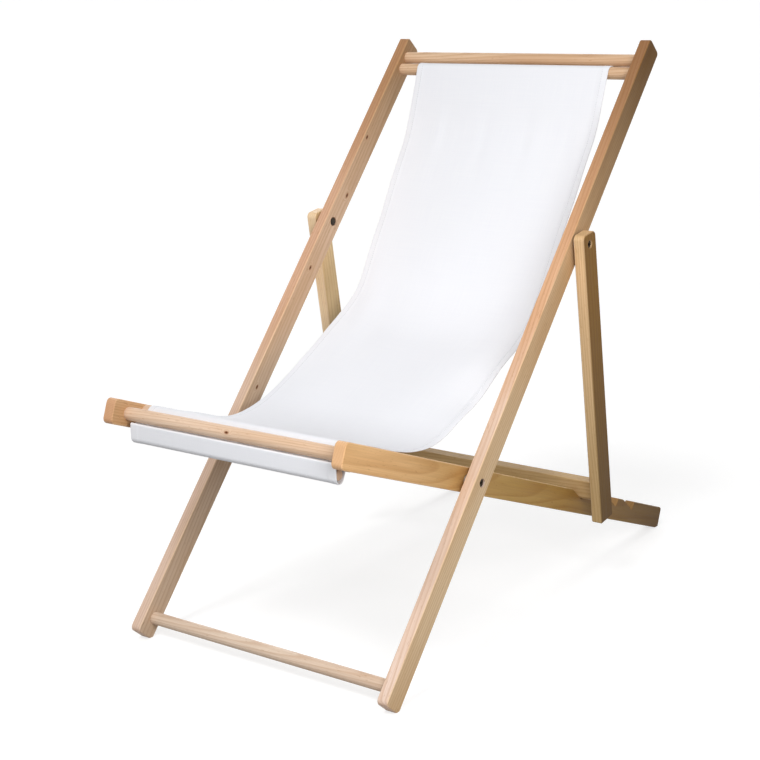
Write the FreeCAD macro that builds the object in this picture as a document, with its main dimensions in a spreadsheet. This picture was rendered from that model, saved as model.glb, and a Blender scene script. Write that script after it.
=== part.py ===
import FreeCAD, Part

import math
import os

import Sketcher
from FreeCAD import Placement, Rotation, Vector

# Folding deck chair with a canvas sling.
# Two long rails cross two seat rails at the seat pivot, like scissors.
# A prop frame hangs from the long rails and its stretcher sits in sawtooth notches in the seat rails.
# X runs to the viewer's right, the front of the chair is at -Y and the ground is at Z = 0.
# In each frame's own axes, Y runs along its rails and Z across them, with Z = 0 on the centre line.
# The right-hand pieces are modelled and the left-hand ones are their mirror images.

SIZES = {
    # Rail stock
    "rail_depth": 42.0,
    "rail_thickness": 20.0,
    "rail_edge_chamfer": 1.2,
    # Widths across the chair
    "seat_frame_width": 480.0,
    "seat_spacer_width": 9.0,
    "prop_washer_width": 5.0,
    # Long rail, measured from its foot
    "long_rail_length": 1260.0,
    "foot_to_seat_pivot": 389.5,
    "seat_to_prop_pivot": 456.0,
    "foot_bar_from_foot": 34.0,
    "foot_bar_setback": 3.6,
    "upper_bar_from_top": 32.7,
    "top_bar_pitch": 28.0,
    "long_foot_round": 9.0,
    "long_top_round": 7.0,
    "foot_flat_run": 6.7,
    # Seat rail, measured from its front end
    "seat_rail_length": 1108.0,
    "front_to_seat_pivot": 346.0,
    "front_bar_from_front": 35.0,
    "front_bar_rise": 1.0,
    "sling_bar_from_front": 74.0,
    "sling_bar_rise": 9.0,
    "seat_front_round": 9.0,
    "seat_rear_round": 5.0,
    "rear_flat_run": 12.0,
    # Sawtooth notches in the top edge of the seat rail
    "first_notch_from_front": 757.5,
    "notch_pitch": 72.0,
    "notch_count": 4,
    "notch_depth": 16.5,
    "notch_ramp_angle": 20.0,
    "notch_wall_angle": 64.6,
    # Prop frame, measured from its pivot
    "prop_above_pivot": 19.0,
    "prop_below_pivot": 519.0,
    "prop_top_round": 9.0,
    "prop_bottom_round": 3.0,
    "stretcher_reach": 480.0,
    "stretcher_setback": 9.0,
    "stretcher_height": 40.0,
    "stretcher_thickness": 20.0,
    "notch_clearance": 0.3,
    # Round bars, their blind sockets and the brads that lock them
    "bar_diameter": 22.0,
    "bar_socket_depth": 12.0,
    "bar_end_chamfer": 1.0,
    "glue_clearance": 0.05,
    "brad_side": 2.2,
    "brad_length": 24.0,
    "brad_inset": 6.0,
    "brad_sunk": 0.5,
    # Hidden dowels at the ends of the stretcher
    "dowel_diameter": 8.0,
    "dowel_in_prop": 12.0,
    "dowel_in_stretcher": 18.0,
    "dowel_lower_rise": 2.0,
    "dowel_pitch": 18.0,
    # Pivot bolts, nuts, spacers and washers
    "bolt_diameter": 8.0,
    "bolt_clearance": 0.06,
    "head_diameter": 13.0,
    "head_height": 3.5,
    "head_recess_diameter": 15.0,
    "head_recess_depth": 6.0,
    "drive_width": 5.0,
    "drive_depth": 2.2,
    "nut_width": 13.0,
    "nut_height": 6.0,
    "nut_recess_diameter": 17.0,
    "nut_recess_depth": 6.5,
    "nut_sunk": 0.3,
    "spacer_diameter": 20.0,
    "washer_diameter": 24.0,
    # Canvas sling and the rods in its two pockets
    "canvas_thickness": 1.5,
    "canvas_clearance": 0.3,
    "canvas_width": 416.0,
    "canvas_bend_width": 394.0,
    "pocket_rod_diameter": 16.0,
    "pocket_rod_short": 3.0,
    "pocket_rod_along": 48.0,
    "pocket_rod_drop": 29.0,
    "pocket_slit": 5.5,
    "pocket_hem_angle": 35.0,
    "pocket_hem_length": 9.0,
    "back_point_forward": 45.2,
    "back_point_drop": 101.5,
    "back_radius": 260.0,
    "bend_point_back": 535.9,
    "bend_point_rise": 73.0,
    "bend_radius": 220.0,
    "low_point_back": 210.8,
    "low_point_drop": 65.8,
    "seat_radius": 200.0,
}

OVERCUT = 5.0  # how far a cutting outline runs past the face that it opens
SAME_PLACE = 0.01  # points nearer to each other than this count as one
SMALLEST_RUN = 1e-4  # straight runs shorter than this are left out of the canvas outline
LONG_EDGE = 3  # an edge this many times the stock's depth runs along the piece

# Equal bends in which the canvas goes round the top rod, the top bar, the sling bar and the front rod
LOOP_BENDS = 6
TOP_WRAP_BENDS = 3
FRONT_WRAP_BENDS = 2
POCKET_BENDS = 4

doc = FreeCAD.newDocument("DeckChair")
sheet = doc.addObject("Spreadsheet::Sheet", "Sizes")


def fill_sheet():
    """Write every driving size into the sheet, with its name beside it as the cell's alias."""
    for row, (name, value) in enumerate(SIZES.items(), start=1):
        sheet.set(f"A{row}", name)
        sheet.set(f"B{row}", str(value))
        sheet.setAlias(f"B{row}", name)
    doc.recompute()


def size(name):
    """Return one size from the sheet as a number."""
    return float(sheet.get(name))


def hang_angle(opening, foot_reach, rear_reach):
    """Return the slope of the seat rail, in degrees, at which both frames stand on the ground.

    `opening` is the angle between the rails at the seat pivot.
    Each reach is the vector from that pivot to the point where a rail meets the ground,
    along the rail and across it.
    """
    foot_distance = math.hypot(*foot_reach)
    rear_distance = math.hypot(*rear_reach)
    foot_lag = math.degrees(math.atan2(foot_reach[1], foot_reach[0]))
    rear_lag = math.degrees(math.atan2(rear_reach[1], rear_reach[0]))
    total = math.radians(opening + foot_lag + rear_lag)
    slope = math.atan2(foot_distance * math.sin(total), rear_distance + foot_distance * math.cos(total))
    return math.degrees(slope) - rear_lag


def solve_pose():
    """Work out how the three frames stand with the stretcher in the first notch."""
    half_depth = size("rail_depth") / 2
    ramp = math.radians(size("notch_ramp_angle"))
    wall = math.radians(size("notch_wall_angle"))
    half_mouth = (math.pi - ramp - wall) / 2
    nose_radius = size("stretcher_thickness") / 2 + size("notch_clearance")
    rise = nose_radius / math.sin(half_mouth)
    lean = wall + half_mouth
    nose_along = size("first_notch_from_front") - size("front_to_seat_pivot") + rise * math.cos(lean)
    nose_across = half_depth - size("notch_depth") + rise * math.sin(lean)

    pivot_gap = size("seat_to_prop_pivot")
    nose_distance = math.hypot(nose_along, nose_across)
    prop_reach = math.hypot(size("stretcher_reach"), size("stretcher_setback"))
    cosine = (pivot_gap**2 + nose_distance**2 - prop_reach**2) / (2 * pivot_gap * nose_distance)
    opening = math.degrees(math.atan2(nose_across, nose_along) + math.acos(cosine))

    foot_reach = (size("foot_to_seat_pivot") - size("foot_flat_run"), half_depth)
    seat_behind = size("seat_rail_length") - size("front_to_seat_pivot")
    rear_reach = (seat_behind - size("rear_flat_run"), half_depth)
    seat_slope = hang_angle(opening, foot_reach, rear_reach)
    long_slope = opening - seat_slope
    pivot_height = rear_reach[0] * math.sin(math.radians(seat_slope))
    pivot_height += rear_reach[1] * math.cos(math.radians(seat_slope))

    nose = turned((nose_along, nose_across), -seat_slope)
    prop_pivot = turned((pivot_gap, 0.0), long_slope)
    drop = (prop_pivot[0] - nose[0], prop_pivot[1] - nose[1])
    nose_lag = math.degrees(math.atan2(size("stretcher_setback"), size("stretcher_reach")))
    prop_lean = math.degrees(math.atan2(-drop[0], drop[1])) - nose_lag
    return {
        "long_slope": long_slope,
        "seat_slope": seat_slope,
        "prop_lean": prop_lean,
        "pivot_height": pivot_height,
        "foot_flat_rise": size("foot_flat_run") * math.tan(math.radians(long_slope)),
        "rear_flat_rise": size("rear_flat_run") * math.tan(math.radians(seat_slope)),
    }


def turned(point, degrees):
    """Return a pair of numbers turned about zero, anticlockwise."""
    angle = math.radians(degrees)
    return (
        point[0] * math.cos(angle) - point[1] * math.sin(angle),
        point[0] * math.sin(angle) + point[1] * math.cos(angle),
    )


def add_pose(pose):
    """Write the angles and heights that follow from the driving sizes into the sheet."""
    for row, (name, value) in enumerate(pose.items(), start=1):
        sheet.set(f"D{row}", name)
        sheet.set(f"E{row}", repr(value))
        sheet.setAlias(f"E{row}", name)
    doc.recompute()


def new_body(label):
    """Return an empty body with its own label."""
    body = doc.addObject("PartDesign::Body", label)
    body.Label = label
    return body


def new_sketch(body, name, role, offset="0"):
    """Return a sketch on one of the body's own planes, moved along its normal by an expression."""
    plane = next(item for item in body.Origin.OriginFeatures if item.Role == role)
    sketch = body.newObject("Sketcher::SketchObject", f"{body.Label}_{name}")
    sketch.AttachmentSupport = (plane, "")
    sketch.MapMode = "FlatFace"
    sketch.setExpression("AttachmentOffset.Base.z", offset)
    return sketch


def bound(sketch, constraint, expression):
    """Add one constraint to a sketch and bind its value to an expression."""
    index = sketch.addConstraint(constraint)
    sketch.setExpression(f"Constraints[{index}]", expression)


def value_of(sketch, expression):
    """Return what an expression is worth now."""
    return float(sketch.evalExpression(expression))


def add_polygon(sketch, corners):
    """Draw a closed outline whose corners are pairs of expressions."""
    places = [(value_of(sketch, across), value_of(sketch, up)) for across, up in corners]
    first = sketch.GeometryCount
    count = len(places)
    for index in range(count):
        start = Vector(*places[index], 0)
        end = Vector(*places[(index + 1) % count], 0)
        sketch.addGeometry(Part.LineSegment(start, end), False)
    for index in range(count):
        following = first + (index + 1) % count
        sketch.addConstraint(Sketcher.Constraint("Coincident", first + index, 2, following, 1))
    for index, (across, up) in enumerate(corners):
        line = first + index
        bound(sketch, Sketcher.Constraint("DistanceX", line, 1, places[index][0]), across)
        bound(sketch, Sketcher.Constraint("DistanceY", line, 1, places[index][1]), up)


def add_circle(sketch, across, up, radius):
    """Draw a circle whose centre and radius are expressions."""
    centre = Vector(value_of(sketch, across), value_of(sketch, up), 0)
    reach = value_of(sketch, radius)
    index = sketch.addGeometry(Part.Circle(centre, Vector(0, 0, 1), reach), False)
    bound(sketch, Sketcher.Constraint("DistanceX", index, 3, centre.x), across)
    bound(sketch, Sketcher.Constraint("DistanceY", index, 3, centre.y), up)
    bound(sketch, Sketcher.Constraint("Radius", index, reach), radius)


def add_square(sketch, across, up, side):
    """Draw a square about a point, with its sides along the sketch's axes."""
    half = f"({side}) / 2"
    steps = (("-", "-"), ("+", "-"), ("+", "+"), ("-", "+"))
    add_polygon(sketch, [(f"{across} {first} {half}", f"{up} {second} {half}") for first, second in steps])


def add_hexagon(sketch, width):
    """Draw a hexagon about the origin, `width` across its flats."""
    corners = []
    for turn in range(6):
        corner = f"{width} / sqrt(3)"
        corners.append((f"{corner} * cos({60 * turn})", f"{corner} * sin({60 * turn})"))
    add_polygon(sketch, corners)


def pad_both_ways(body, sketch, length):
    """Pad a sketch by half the length to each side of its plane."""
    pad = body.newObject("PartDesign::Pad", f"{sketch.Label}_pad")
    pad.Profile = sketch
    pad.SideType = "Symmetric"
    pad.setExpression("Length", length)
    doc.recompute()
    return pad


def cut_to_depth(body, sketch, depth, with_normal):
    """Cut a sketch into the body, along its normal or against it."""
    before = body.Shape.Volume
    pocket = body.newObject("PartDesign::Pocket", f"{sketch.Label}_cut")
    pocket.Profile = sketch
    pocket.Reversed = with_normal
    pocket.setExpression("Length", depth)
    doc.recompute()
    check_cut(pocket, before)
    return pocket


def cut_through(body, sketch, both_ways=True):
    """Cut a sketch right through the body."""
    before = body.Shape.Volume
    pocket = body.newObject("PartDesign::Pocket", f"{sketch.Label}_cut")
    pocket.Profile = sketch
    pocket.Type = "ThroughAll"
    pocket.SideType = "Symmetric" if both_ways else "One side"
    doc.recompute()
    check_cut(pocket, before)
    return pocket


def check_cut(pocket, before):
    """Stop if a cut took nothing away."""
    if not pocket.Shape.Volume < before:
        raise RuntimeError(f"{pocket.Label} cuts nothing")


def edge_names(feature, chosen):
    """Return the names of the edges of a feature for which `chosen` is true."""
    names = [f"Edge{index}" for index, edge in enumerate(feature.Shape.Edges, start=1) if chosen(edge)]
    if not names:
        raise RuntimeError(f"{feature.Label} has no such edge")
    return names


def round_edges(body, feature, chosen, radius):
    """Round the edges of a feature for which `chosen` is true."""
    fillet = body.newObject("PartDesign::Fillet", f"{feature.Label}_round")
    fillet.Base = (feature, edge_names(feature, chosen))
    fillet.setExpression("Radius", radius)
    doc.recompute()
    return fillet


def bevel_edges(body, feature, chosen, width):
    """Take a small bevel off the edges of a feature for which `chosen` is true."""
    chamfer = body.newObject("PartDesign::Chamfer", f"{feature.Label}_bevel")
    chamfer.Base = (feature, edge_names(feature, chosen))
    chamfer.setExpression("Size", width)
    doc.recompute()
    return chamfer


def across_rail_at(place):
    """Return a test for the edge that runs through the rail's thickness at one corner."""

    def chosen(edge):
        ends = [vertex.Point for vertex in edge.Vertexes]
        return len(ends) == 2 and all(
            abs(end.y - place[0]) < SAME_PLACE and abs(end.z - place[1]) < SAME_PLACE for end in ends
        )

    return chosen


def along_rail(edge):
    """Tell whether an edge is one of the long straight ones on a rail's sides."""
    ends = [vertex.Point for vertex in edge.Vertexes]
    same_side = len(ends) == 2 and abs(ends[0].x - ends[1].x) < SAME_PLACE
    return same_side and edge.Length > LONG_EDGE * size("rail_depth")


def make_rail(label, corners, rounds):
    """Return a rail padded from its side outline, with rounded end corners and eased long edges.

    Args:
        label: Name of the piece.
        corners: Pairs of expressions along and across the rail.
        rounds: Pairs of a corner's number and the expression of its radius.
    """
    body = new_body(label)
    outline = new_sketch(body, "outline", "YZ_Plane")
    add_polygon(outline, corners)
    feature = pad_both_ways(body, outline, "Sizes.rail_thickness")
    for corner, radius in rounds:
        place = [value_of(outline, part) for part in corners[corner]]
        feature = round_edges(body, feature, across_rail_at(place), radius)
    bevel_edges(body, feature, along_rail, "Sizes.rail_edge_chamfer")
    return body


def bore(body, name, along, across, diameter, depth, from_inside):
    """Cut a round hole into a right-hand rail, from its inner or its outer face."""
    offset = "-Sizes.rail_thickness / 2" if from_inside else "Sizes.rail_thickness / 2"
    sketch = new_sketch(body, name, "YZ_Plane", offset)
    add_circle(sketch, along, across, f"({diameter}) / 2")
    cut_to_depth(body, sketch, depth, with_normal=from_inside)


def bore_through(body, name, along, across, diameter):
    """Cut a round hole right through a rail."""
    sketch = new_sketch(body, name, "YZ_Plane")
    add_circle(sketch, along, across, f"({diameter}) / 2")
    cut_through(body, sketch)


BAR_SOCKET = "Sizes.bar_diameter + 2 * Sizes.glue_clearance"
BRAD_HOLE = "Sizes.brad_side + 2 * Sizes.glue_clearance"
BOLT_HOLE = "Sizes.bolt_diameter + 2 * Sizes.bolt_clearance"
DOWEL_HOLE = "Sizes.dowel_diameter + 2 * Sizes.glue_clearance"
RAIL_TOP = "Sizes.rail_depth / 2"
RAIL_UNDER = "-Sizes.rail_depth / 2"

# Places along each rail, from the pivot that the rail's own axes start at
LONG_FOOT = "-Sizes.foot_to_seat_pivot"
LONG_TOP = "(Sizes.long_rail_length - Sizes.foot_to_seat_pivot)"
FOOT_BAR = f"({LONG_FOOT} + Sizes.foot_bar_from_foot)"
UPPER_BAR = f"({LONG_TOP} - Sizes.upper_bar_from_top)"
LOWER_BAR = f"({UPPER_BAR} - Sizes.top_bar_pitch)"
SEAT_FRONT = "-Sizes.front_to_seat_pivot"
SEAT_REAR = "(Sizes.seat_rail_length - Sizes.front_to_seat_pivot)"
FRONT_BAR = f"({SEAT_FRONT} + Sizes.front_bar_from_front)"
SLING_BAR = f"({SEAT_FRONT} + Sizes.sling_bar_from_front)"
FIRST_NOTCH = f"({SEAT_FRONT} + Sizes.first_notch_from_front)"

# Planes across the chair, from its middle to the right
SEAT_OUTER = "(Sizes.seat_frame_width / 2)"
SEAT_INNER = f"({SEAT_OUTER} - Sizes.rail_thickness)"
LONG_INNER = f"({SEAT_OUTER} + Sizes.seat_spacer_width)"
LONG_OUTER = f"({LONG_INNER} + Sizes.rail_thickness)"
PROP_INNER = f"({LONG_OUTER} + Sizes.prop_washer_width)"
PROP_OUTER = f"({PROP_INNER} + Sizes.rail_thickness)"


def seat_bar(body, name, along, across):
    """Cut the blind socket of a round bar and the brad's hole that runs up into it."""
    bore(body, f"{name}_socket", along, across, BAR_SOCKET, "Sizes.bar_socket_depth", from_inside=True)
    hole = new_sketch(body, f"{name}_brad_hole", "XY_Plane")
    add_square(hole, "Sizes.brad_inset - Sizes.rail_thickness / 2", along, BRAD_HOLE)
    cut_through(body, hole, both_ways=False)


def make_long_rail():
    """Return the right-hand long rail: foot flat, three bar sockets and both pivots."""
    corners = [
        (f"{LONG_FOOT} + Sizes.foot_flat_run", RAIL_UNDER),
        (LONG_TOP, RAIL_UNDER),
        (LONG_TOP, RAIL_TOP),
        (LONG_FOOT, RAIL_TOP),
        (LONG_FOOT, f"{RAIL_UNDER} + Sizes.foot_flat_rise"),
    ]
    rounds = [(1, "Sizes.long_top_round"), (2, "Sizes.long_top_round"), (3, "Sizes.long_foot_round")]
    body = make_rail("long_rail_right", corners, rounds)
    seat_bar(body, "foot_bar", FOOT_BAR, "-Sizes.foot_bar_setback")
    seat_bar(body, "lower_bar", LOWER_BAR, "0")
    seat_bar(body, "upper_bar", UPPER_BAR, "0")
    bore_through(body, "seat_pivot", "0", "0", BOLT_HOLE)
    bore_through(body, "prop_pivot", "Sizes.seat_to_prop_pivot", "0", BOLT_HOLE)
    bore(body, "head_recess", "0", "0", "Sizes.head_recess_diameter",
         "Sizes.head_recess_depth", from_inside=False)
    bore(body, "nut_recess", "Sizes.seat_to_prop_pivot", "0", "Sizes.nut_recess_diameter",
         "Sizes.nut_recess_depth", from_inside=True)
    return body


def cut_notches(body):
    """Cut the row of sawtooth notches: a long ramp at the front of each and a steep wall behind."""
    bottom = f"({RAIL_TOP} - Sizes.notch_depth)"
    rise = f"(Sizes.notch_depth + {OVERCUT})"
    notch = new_sketch(body, "notch", "YZ_Plane")
    add_polygon(notch, [
        (FIRST_NOTCH, bottom),
        (f"{FIRST_NOTCH} + {rise} / tan(Sizes.notch_wall_angle)", f"{bottom} + {rise}"),
        (f"{FIRST_NOTCH} - {rise} / tan(Sizes.notch_ramp_angle)", f"{bottom} + {rise}"),
    ])
    pocket = cut_through(body, notch)
    row = body.newObject("PartDesign::LinearPattern", "notch_row")
    row.Originals = [pocket]
    row.Direction = (notch, ["H_Axis"])
    row.setExpression("Length", "Sizes.notch_pitch * (Sizes.notch_count - 1)")
    row.setExpression("Occurrences", "Sizes.notch_count")
    body.Tip = row
    doc.recompute()


def make_seat_rail():
    """Return the right-hand seat rail: two bar sockets, the pivot, the notches and the rear flat."""
    corners = [
        (SEAT_FRONT, RAIL_UNDER),
        (f"{SEAT_REAR} - Sizes.rear_flat_run", RAIL_UNDER),
        (SEAT_REAR, f"{RAIL_UNDER} + Sizes.rear_flat_rise"),
        (SEAT_REAR, RAIL_TOP),
        (SEAT_FRONT, RAIL_TOP),
    ]
    rounds = [(0, "Sizes.seat_front_round"), (4, "Sizes.seat_front_round"), (3, "Sizes.seat_rear_round")]
    body = make_rail("seat_rail_right", corners, rounds)
    seat_bar(body, "front_bar", FRONT_BAR, "Sizes.front_bar_rise")
    seat_bar(body, "sling_bar", SLING_BAR, "Sizes.sling_bar_rise")
    bore_through(body, "seat_pivot", "0", "0", BOLT_HOLE)
    bore(body, "nut_recess", "0", "0", "Sizes.nut_recess_diameter",
         "Sizes.nut_recess_depth", from_inside=True)
    cut_notches(body)
    return body


def dowel_rises():
    """Return the heights of the two stretcher dowels above the nose's centre, as expressions."""
    return ["Sizes.dowel_lower_rise", "(Sizes.dowel_lower_rise + Sizes.dowel_pitch)"]


def make_prop():
    """Return the right-hand prop: its pivot, the recess of the bolt's head and two dowel holes."""
    corners = [
        ("-Sizes.prop_below_pivot", RAIL_UNDER),
        ("Sizes.prop_above_pivot", RAIL_UNDER),
        ("Sizes.prop_above_pivot", RAIL_TOP),
        ("-Sizes.prop_below_pivot", RAIL_TOP),
    ]
    rounds = [
        (0, "Sizes.prop_bottom_round"),
        (3, "Sizes.prop_bottom_round"),
        (1, "Sizes.prop_top_round"),
        (2, "Sizes.prop_top_round"),
    ]
    body = make_rail("prop_right", corners, rounds)
    bore_through(body, "prop_pivot", "0", "0", BOLT_HOLE)
    bore(body, "head_recess", "0", "0", "Sizes.head_recess_diameter",
         "Sizes.head_recess_depth", from_inside=False)
    for number, rise in enumerate(dowel_rises(), start=1):
        bore(body, f"dowel_hole_{number}", f"-Sizes.stretcher_reach + {rise}", "-Sizes.stretcher_setback",
             DOWEL_HOLE, "Sizes.dowel_in_prop + Sizes.glue_clearance", from_inside=True)
    return body


def make_bar(label, inner_plane):
    """Return a round bar whose ends fill the sockets of a pair of rails."""
    body = new_body(label)
    outline = new_sketch(body, "outline", "YZ_Plane")
    add_circle(outline, "0", "0", "Sizes.bar_diameter / 2")
    length = f"2 * ({inner_plane} + Sizes.bar_socket_depth - Sizes.glue_clearance)"
    pad = pad_both_ways(body, outline, length)
    bevel_edges(body, pad, lambda edge: len(edge.Vertexes) == 1, "Sizes.bar_end_chamfer")
    holes = new_sketch(body, "brad_holes", "XY_Plane")
    for sign in ("-", ""):
        add_square(holes, f"{sign}({inner_plane} + Sizes.brad_inset)", "0", BRAD_HOLE)
    cut_through(body, holes)
    return body


def make_pocket_rod(label):
    """Return the wooden rod that fills one pocket of the canvas, a little shorter than it."""
    body = new_body(label)
    outline = new_sketch(body, "outline", "YZ_Plane")
    add_circle(outline, "0", "0", "Sizes.pocket_rod_diameter / 2")
    pad = pad_both_ways(body, outline, "Sizes.canvas_width - 2 * Sizes.pocket_rod_short")
    bevel_edges(body, pad, lambda edge: len(edge.Vertexes) == 1, "Sizes.bar_end_chamfer")
    return body


def make_stretcher():
    """Return the board between the props, with a full round nose along its lower edge."""
    body = new_body("prop_stretcher")
    half = "Sizes.stretcher_thickness / 2"
    length = f"2 * {PROP_INNER}"
    board = new_sketch(body, "board", "YZ_Plane")
    top = f"Sizes.stretcher_height - {half}"
    add_polygon(board, [("0", f"-{half}"), (top, f"-{half}"), (top, half), ("0", half)])
    pad_both_ways(body, board, length)
    nose = new_sketch(body, "nose", "YZ_Plane")
    add_circle(nose, "0", "0", half)
    feature = pad_both_ways(body, nose, length)
    top_at = value_of(board, top)

    def upper_long_edge(edge):
        ends = [vertex.Point for vertex in edge.Vertexes]
        at_top = all(abs(end.y - top_at) < SAME_PLACE for end in ends)
        return at_top and edge.Length > LONG_EDGE * size("stretcher_height")

    bevel_edges(body, feature, upper_long_edge, "Sizes.rail_edge_chamfer")
    for end_name, sign, with_normal in (("left", "-", True), ("right", "", False)):
        holes = new_sketch(body, f"dowel_holes_{end_name}", "YZ_Plane", f"{sign}{PROP_INNER}")
        for rise in dowel_rises():
            add_circle(holes, rise, "0", f"({DOWEL_HOLE}) / 2")
        cut_to_depth(body, holes, "Sizes.dowel_in_stretcher + Sizes.glue_clearance", with_normal)
    return body


def make_turned(label, corners):
    """Return a piece turned about the X axis from an outline of places along X and radii."""
    body = new_body(label)
    outline = new_sketch(body, "outline", "XY_Plane")
    add_polygon(outline, corners)
    turned_piece = body.newObject("PartDesign::Revolution", f"{label}_turned")
    turned_piece.Profile = outline
    turned_piece.ReferenceAxis = (outline, ["H_Axis"])
    turned_piece.Angle = 360
    doc.recompute()
    return body


def make_bolt(label, outer_plane, end_plane):
    """Return a pivot bolt: its head lies in a recess below `outer_plane`, its shank ends at a nut."""
    seat = f"({outer_plane} - Sizes.head_recess_depth)"
    head = f"({seat} + Sizes.head_height)"
    shank = "Sizes.bolt_diameter / 2"
    rim = "Sizes.head_diameter / 2"
    body = make_turned(label, [
        (f"{end_plane} + Sizes.nut_sunk", "0"),
        (head, "0"),
        (head, rim),
        (seat, rim),
        (seat, shank),
        (f"{end_plane} + Sizes.nut_sunk", shank),
    ])
    drive = new_sketch(body, "drive", "YZ_Plane", head)
    add_hexagon(drive, "Sizes.drive_width")
    cut_to_depth(body, drive, "Sizes.drive_depth", with_normal=False)
    return body


def make_ring(label, inner_plane, outer_plane, diameter):
    """Return a spacer or washer that fills the gap between two rails on a pivot bolt."""
    hole = f"({BOLT_HOLE}) / 2"
    rim = f"{diameter} / 2"
    return make_turned(label, [
        (inner_plane, hole), (outer_plane, hole), (outer_plane, rim), (inner_plane, rim),
    ])


def make_nut(label, inner_plane):
    """Return the nut of a pivot bolt, sunk into the inner face of a rail."""
    body = new_body(label)
    middle = f"({inner_plane} + Sizes.nut_sunk + Sizes.nut_height / 2)"
    outline = new_sketch(body, "outline", "YZ_Plane", middle)
    add_hexagon(outline, "Sizes.nut_width")
    pad_both_ways(body, outline, "Sizes.nut_height")
    hole = new_sketch(body, "hole", "YZ_Plane", middle)
    add_circle(hole, "0", "0", f"({BOLT_HOLE}) / 2")
    cut_through(body, hole)
    return body


def make_group(label, pieces):
    """Return equal small pieces as one group of separate solids."""
    group = doc.addObject("Part::Compound", label)
    group.Label = label
    group.Links = pieces
    return group


def make_dowels(label, places):
    """Return the round stretcher dowels, one at each placement."""
    dowels = []
    for number, place in enumerate(places, start=1):
        dowel = doc.addObject("Part::Cylinder", f"{label}_{number}")
        dowel.setExpression("Radius", "Sizes.dowel_diameter / 2")
        dowel.setExpression("Height", "Sizes.dowel_in_prop + Sizes.dowel_in_stretcher")
        dowel.Placement = place
        dowels.append(dowel)
    return make_group(label, dowels)


def make_brads(label, places):
    """Return square-shanked brads, one at each placement, each centred on its own upright axis."""
    brads = []
    centred = Placement(Vector(-size("brad_side") / 2, -size("brad_side") / 2, 0), Rotation())
    for number, place in enumerate(places, start=1):
        brad = doc.addObject("Part::Box", f"{label}_{number}")
        brad.setExpression("Length", "Sizes.brad_side")
        brad.setExpression("Width", "Sizes.brad_side")
        brad.setExpression("Height", "Sizes.brad_length")
        brad.Placement = place.multiply(centred)
        brads.append(brad)
    return make_group(label, brads)


def mirrored(source, label):
    """Return the left-hand mirror image of a right-hand piece."""
    mirror = doc.addObject("Part::Mirroring", label)
    mirror.Label = label
    mirror.Source = source
    mirror.Base = Vector(0, 0, 0)
    mirror.Normal = Vector(1, 0, 0)
    return mirror


def heading_vector(heading):
    """Return the unit vector of a heading in radians, in the plane of Y and Z."""
    return Vector(0, math.cos(heading), math.sin(heading))


def right_of(heading):
    """Return the unit vector square to a heading, on its right-hand side."""
    return Vector(0, math.sin(heading), -math.cos(heading))


def bearing(vector):
    """Return the heading of a vector in the plane of Y and Z."""
    return math.atan2(vector.z, vector.y)


def wrap_corners(centre, radius, start, total, pieces):
    """Return the outline corners of canvas that runs round a circle.

    `start` is the heading where it meets the circle, and `total` how far it turns, positive when
    the centre lies on its left.
    """
    step = total / pieces
    side = math.copysign(1.0, total)
    reach = radius / math.cos(step / 2)
    return [centre + right_of(start + (number + 0.5) * step) * side * reach for number in range(pieces)]


def leave_heading(centre, radius, point):
    """Return the heading of canvas that leaves a circle on its left and runs to a point."""
    offset = point - centre
    run = math.sqrt(offset.Length**2 - radius**2)
    return bearing(offset) + math.atan2(radius, run)


def reach_heading(point, centre, radius):
    """Return the heading of canvas that runs from a point on to a circle on its left."""
    offset = centre - point
    run = math.sqrt(offset.Length**2 - radius**2)
    return bearing(offset) - math.atan2(radius, run)


def cross_heading(first, second, radii_sum, side):
    """Return the heading of canvas that crosses over from one circle to another.

    `side` is 1 where the first centre lies on the canvas's left, and -1 on its right.
    """
    offset = second - first
    run = math.sqrt(max(0.0, offset.Length**2 - radii_sum**2))
    return bearing(offset) + math.atan2(side * radii_sum, run)


def side_edges(points, radii, offset):
    """Return the edges of one side of the canvas, `offset` to the left of its middle.

    Args:
        points: Corners of the middle line, with its two ends.
        radii: Radius of the bend at each corner between the ends.
        offset: Distance from the middle line to this side.
    """
    edges = []
    heading = bearing(points[1] - points[0])
    last = points[0] - right_of(heading) * offset
    for corner, following, radius in zip(points[1:-1], points[2:], radii):
        next_heading = bearing(following - corner)
        turn = math.remainder(next_heading - heading, 2 * math.pi)
        side = math.copysign(1.0, turn)
        run = radius * math.tan(abs(turn) / 2)
        centre = corner - heading_vector(heading) * run - right_of(heading) * side * radius
        reach = radius - side * offset
        start = centre + right_of(heading) * side * reach
        middle = centre + right_of(heading + turn / 2) * side * reach
        end = centre + right_of(next_heading) * side * reach
        if start.distanceToPoint(last) > SMALLEST_RUN:
            edges.append(Part.LineSegment(last, start).toShape())
        else:
            start = last
        edges.append(Part.Arc(start, middle, end).toShape())
        last = end
        heading = next_heading
    finish = points[-1] - right_of(heading) * offset
    edges.append(Part.LineSegment(last, finish).toShape())
    return edges


def canvas_prism(points, radii, width):
    """Return canvas of one thickness along a line in the plane of Y and Z, `width` wide."""
    half = size("canvas_thickness") / 2
    left = side_edges(points, radii, half)
    right = side_edges(points, radii, -half)
    caps = [
        Part.LineSegment(left[0].Vertexes[0].Point, right[0].Vertexes[0].Point).toShape(),
        Part.LineSegment(left[-1].Vertexes[-1].Point, right[-1].Vertexes[-1].Point).toShape(),
    ]
    wire = Part.Wire(Part.__sortEdges__(left + right + caps))
    face = Part.Face(wire)
    face.translate(Vector(-width / 2, 0, 0))
    return face.extrude(Vector(width, 0, 0))


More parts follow.
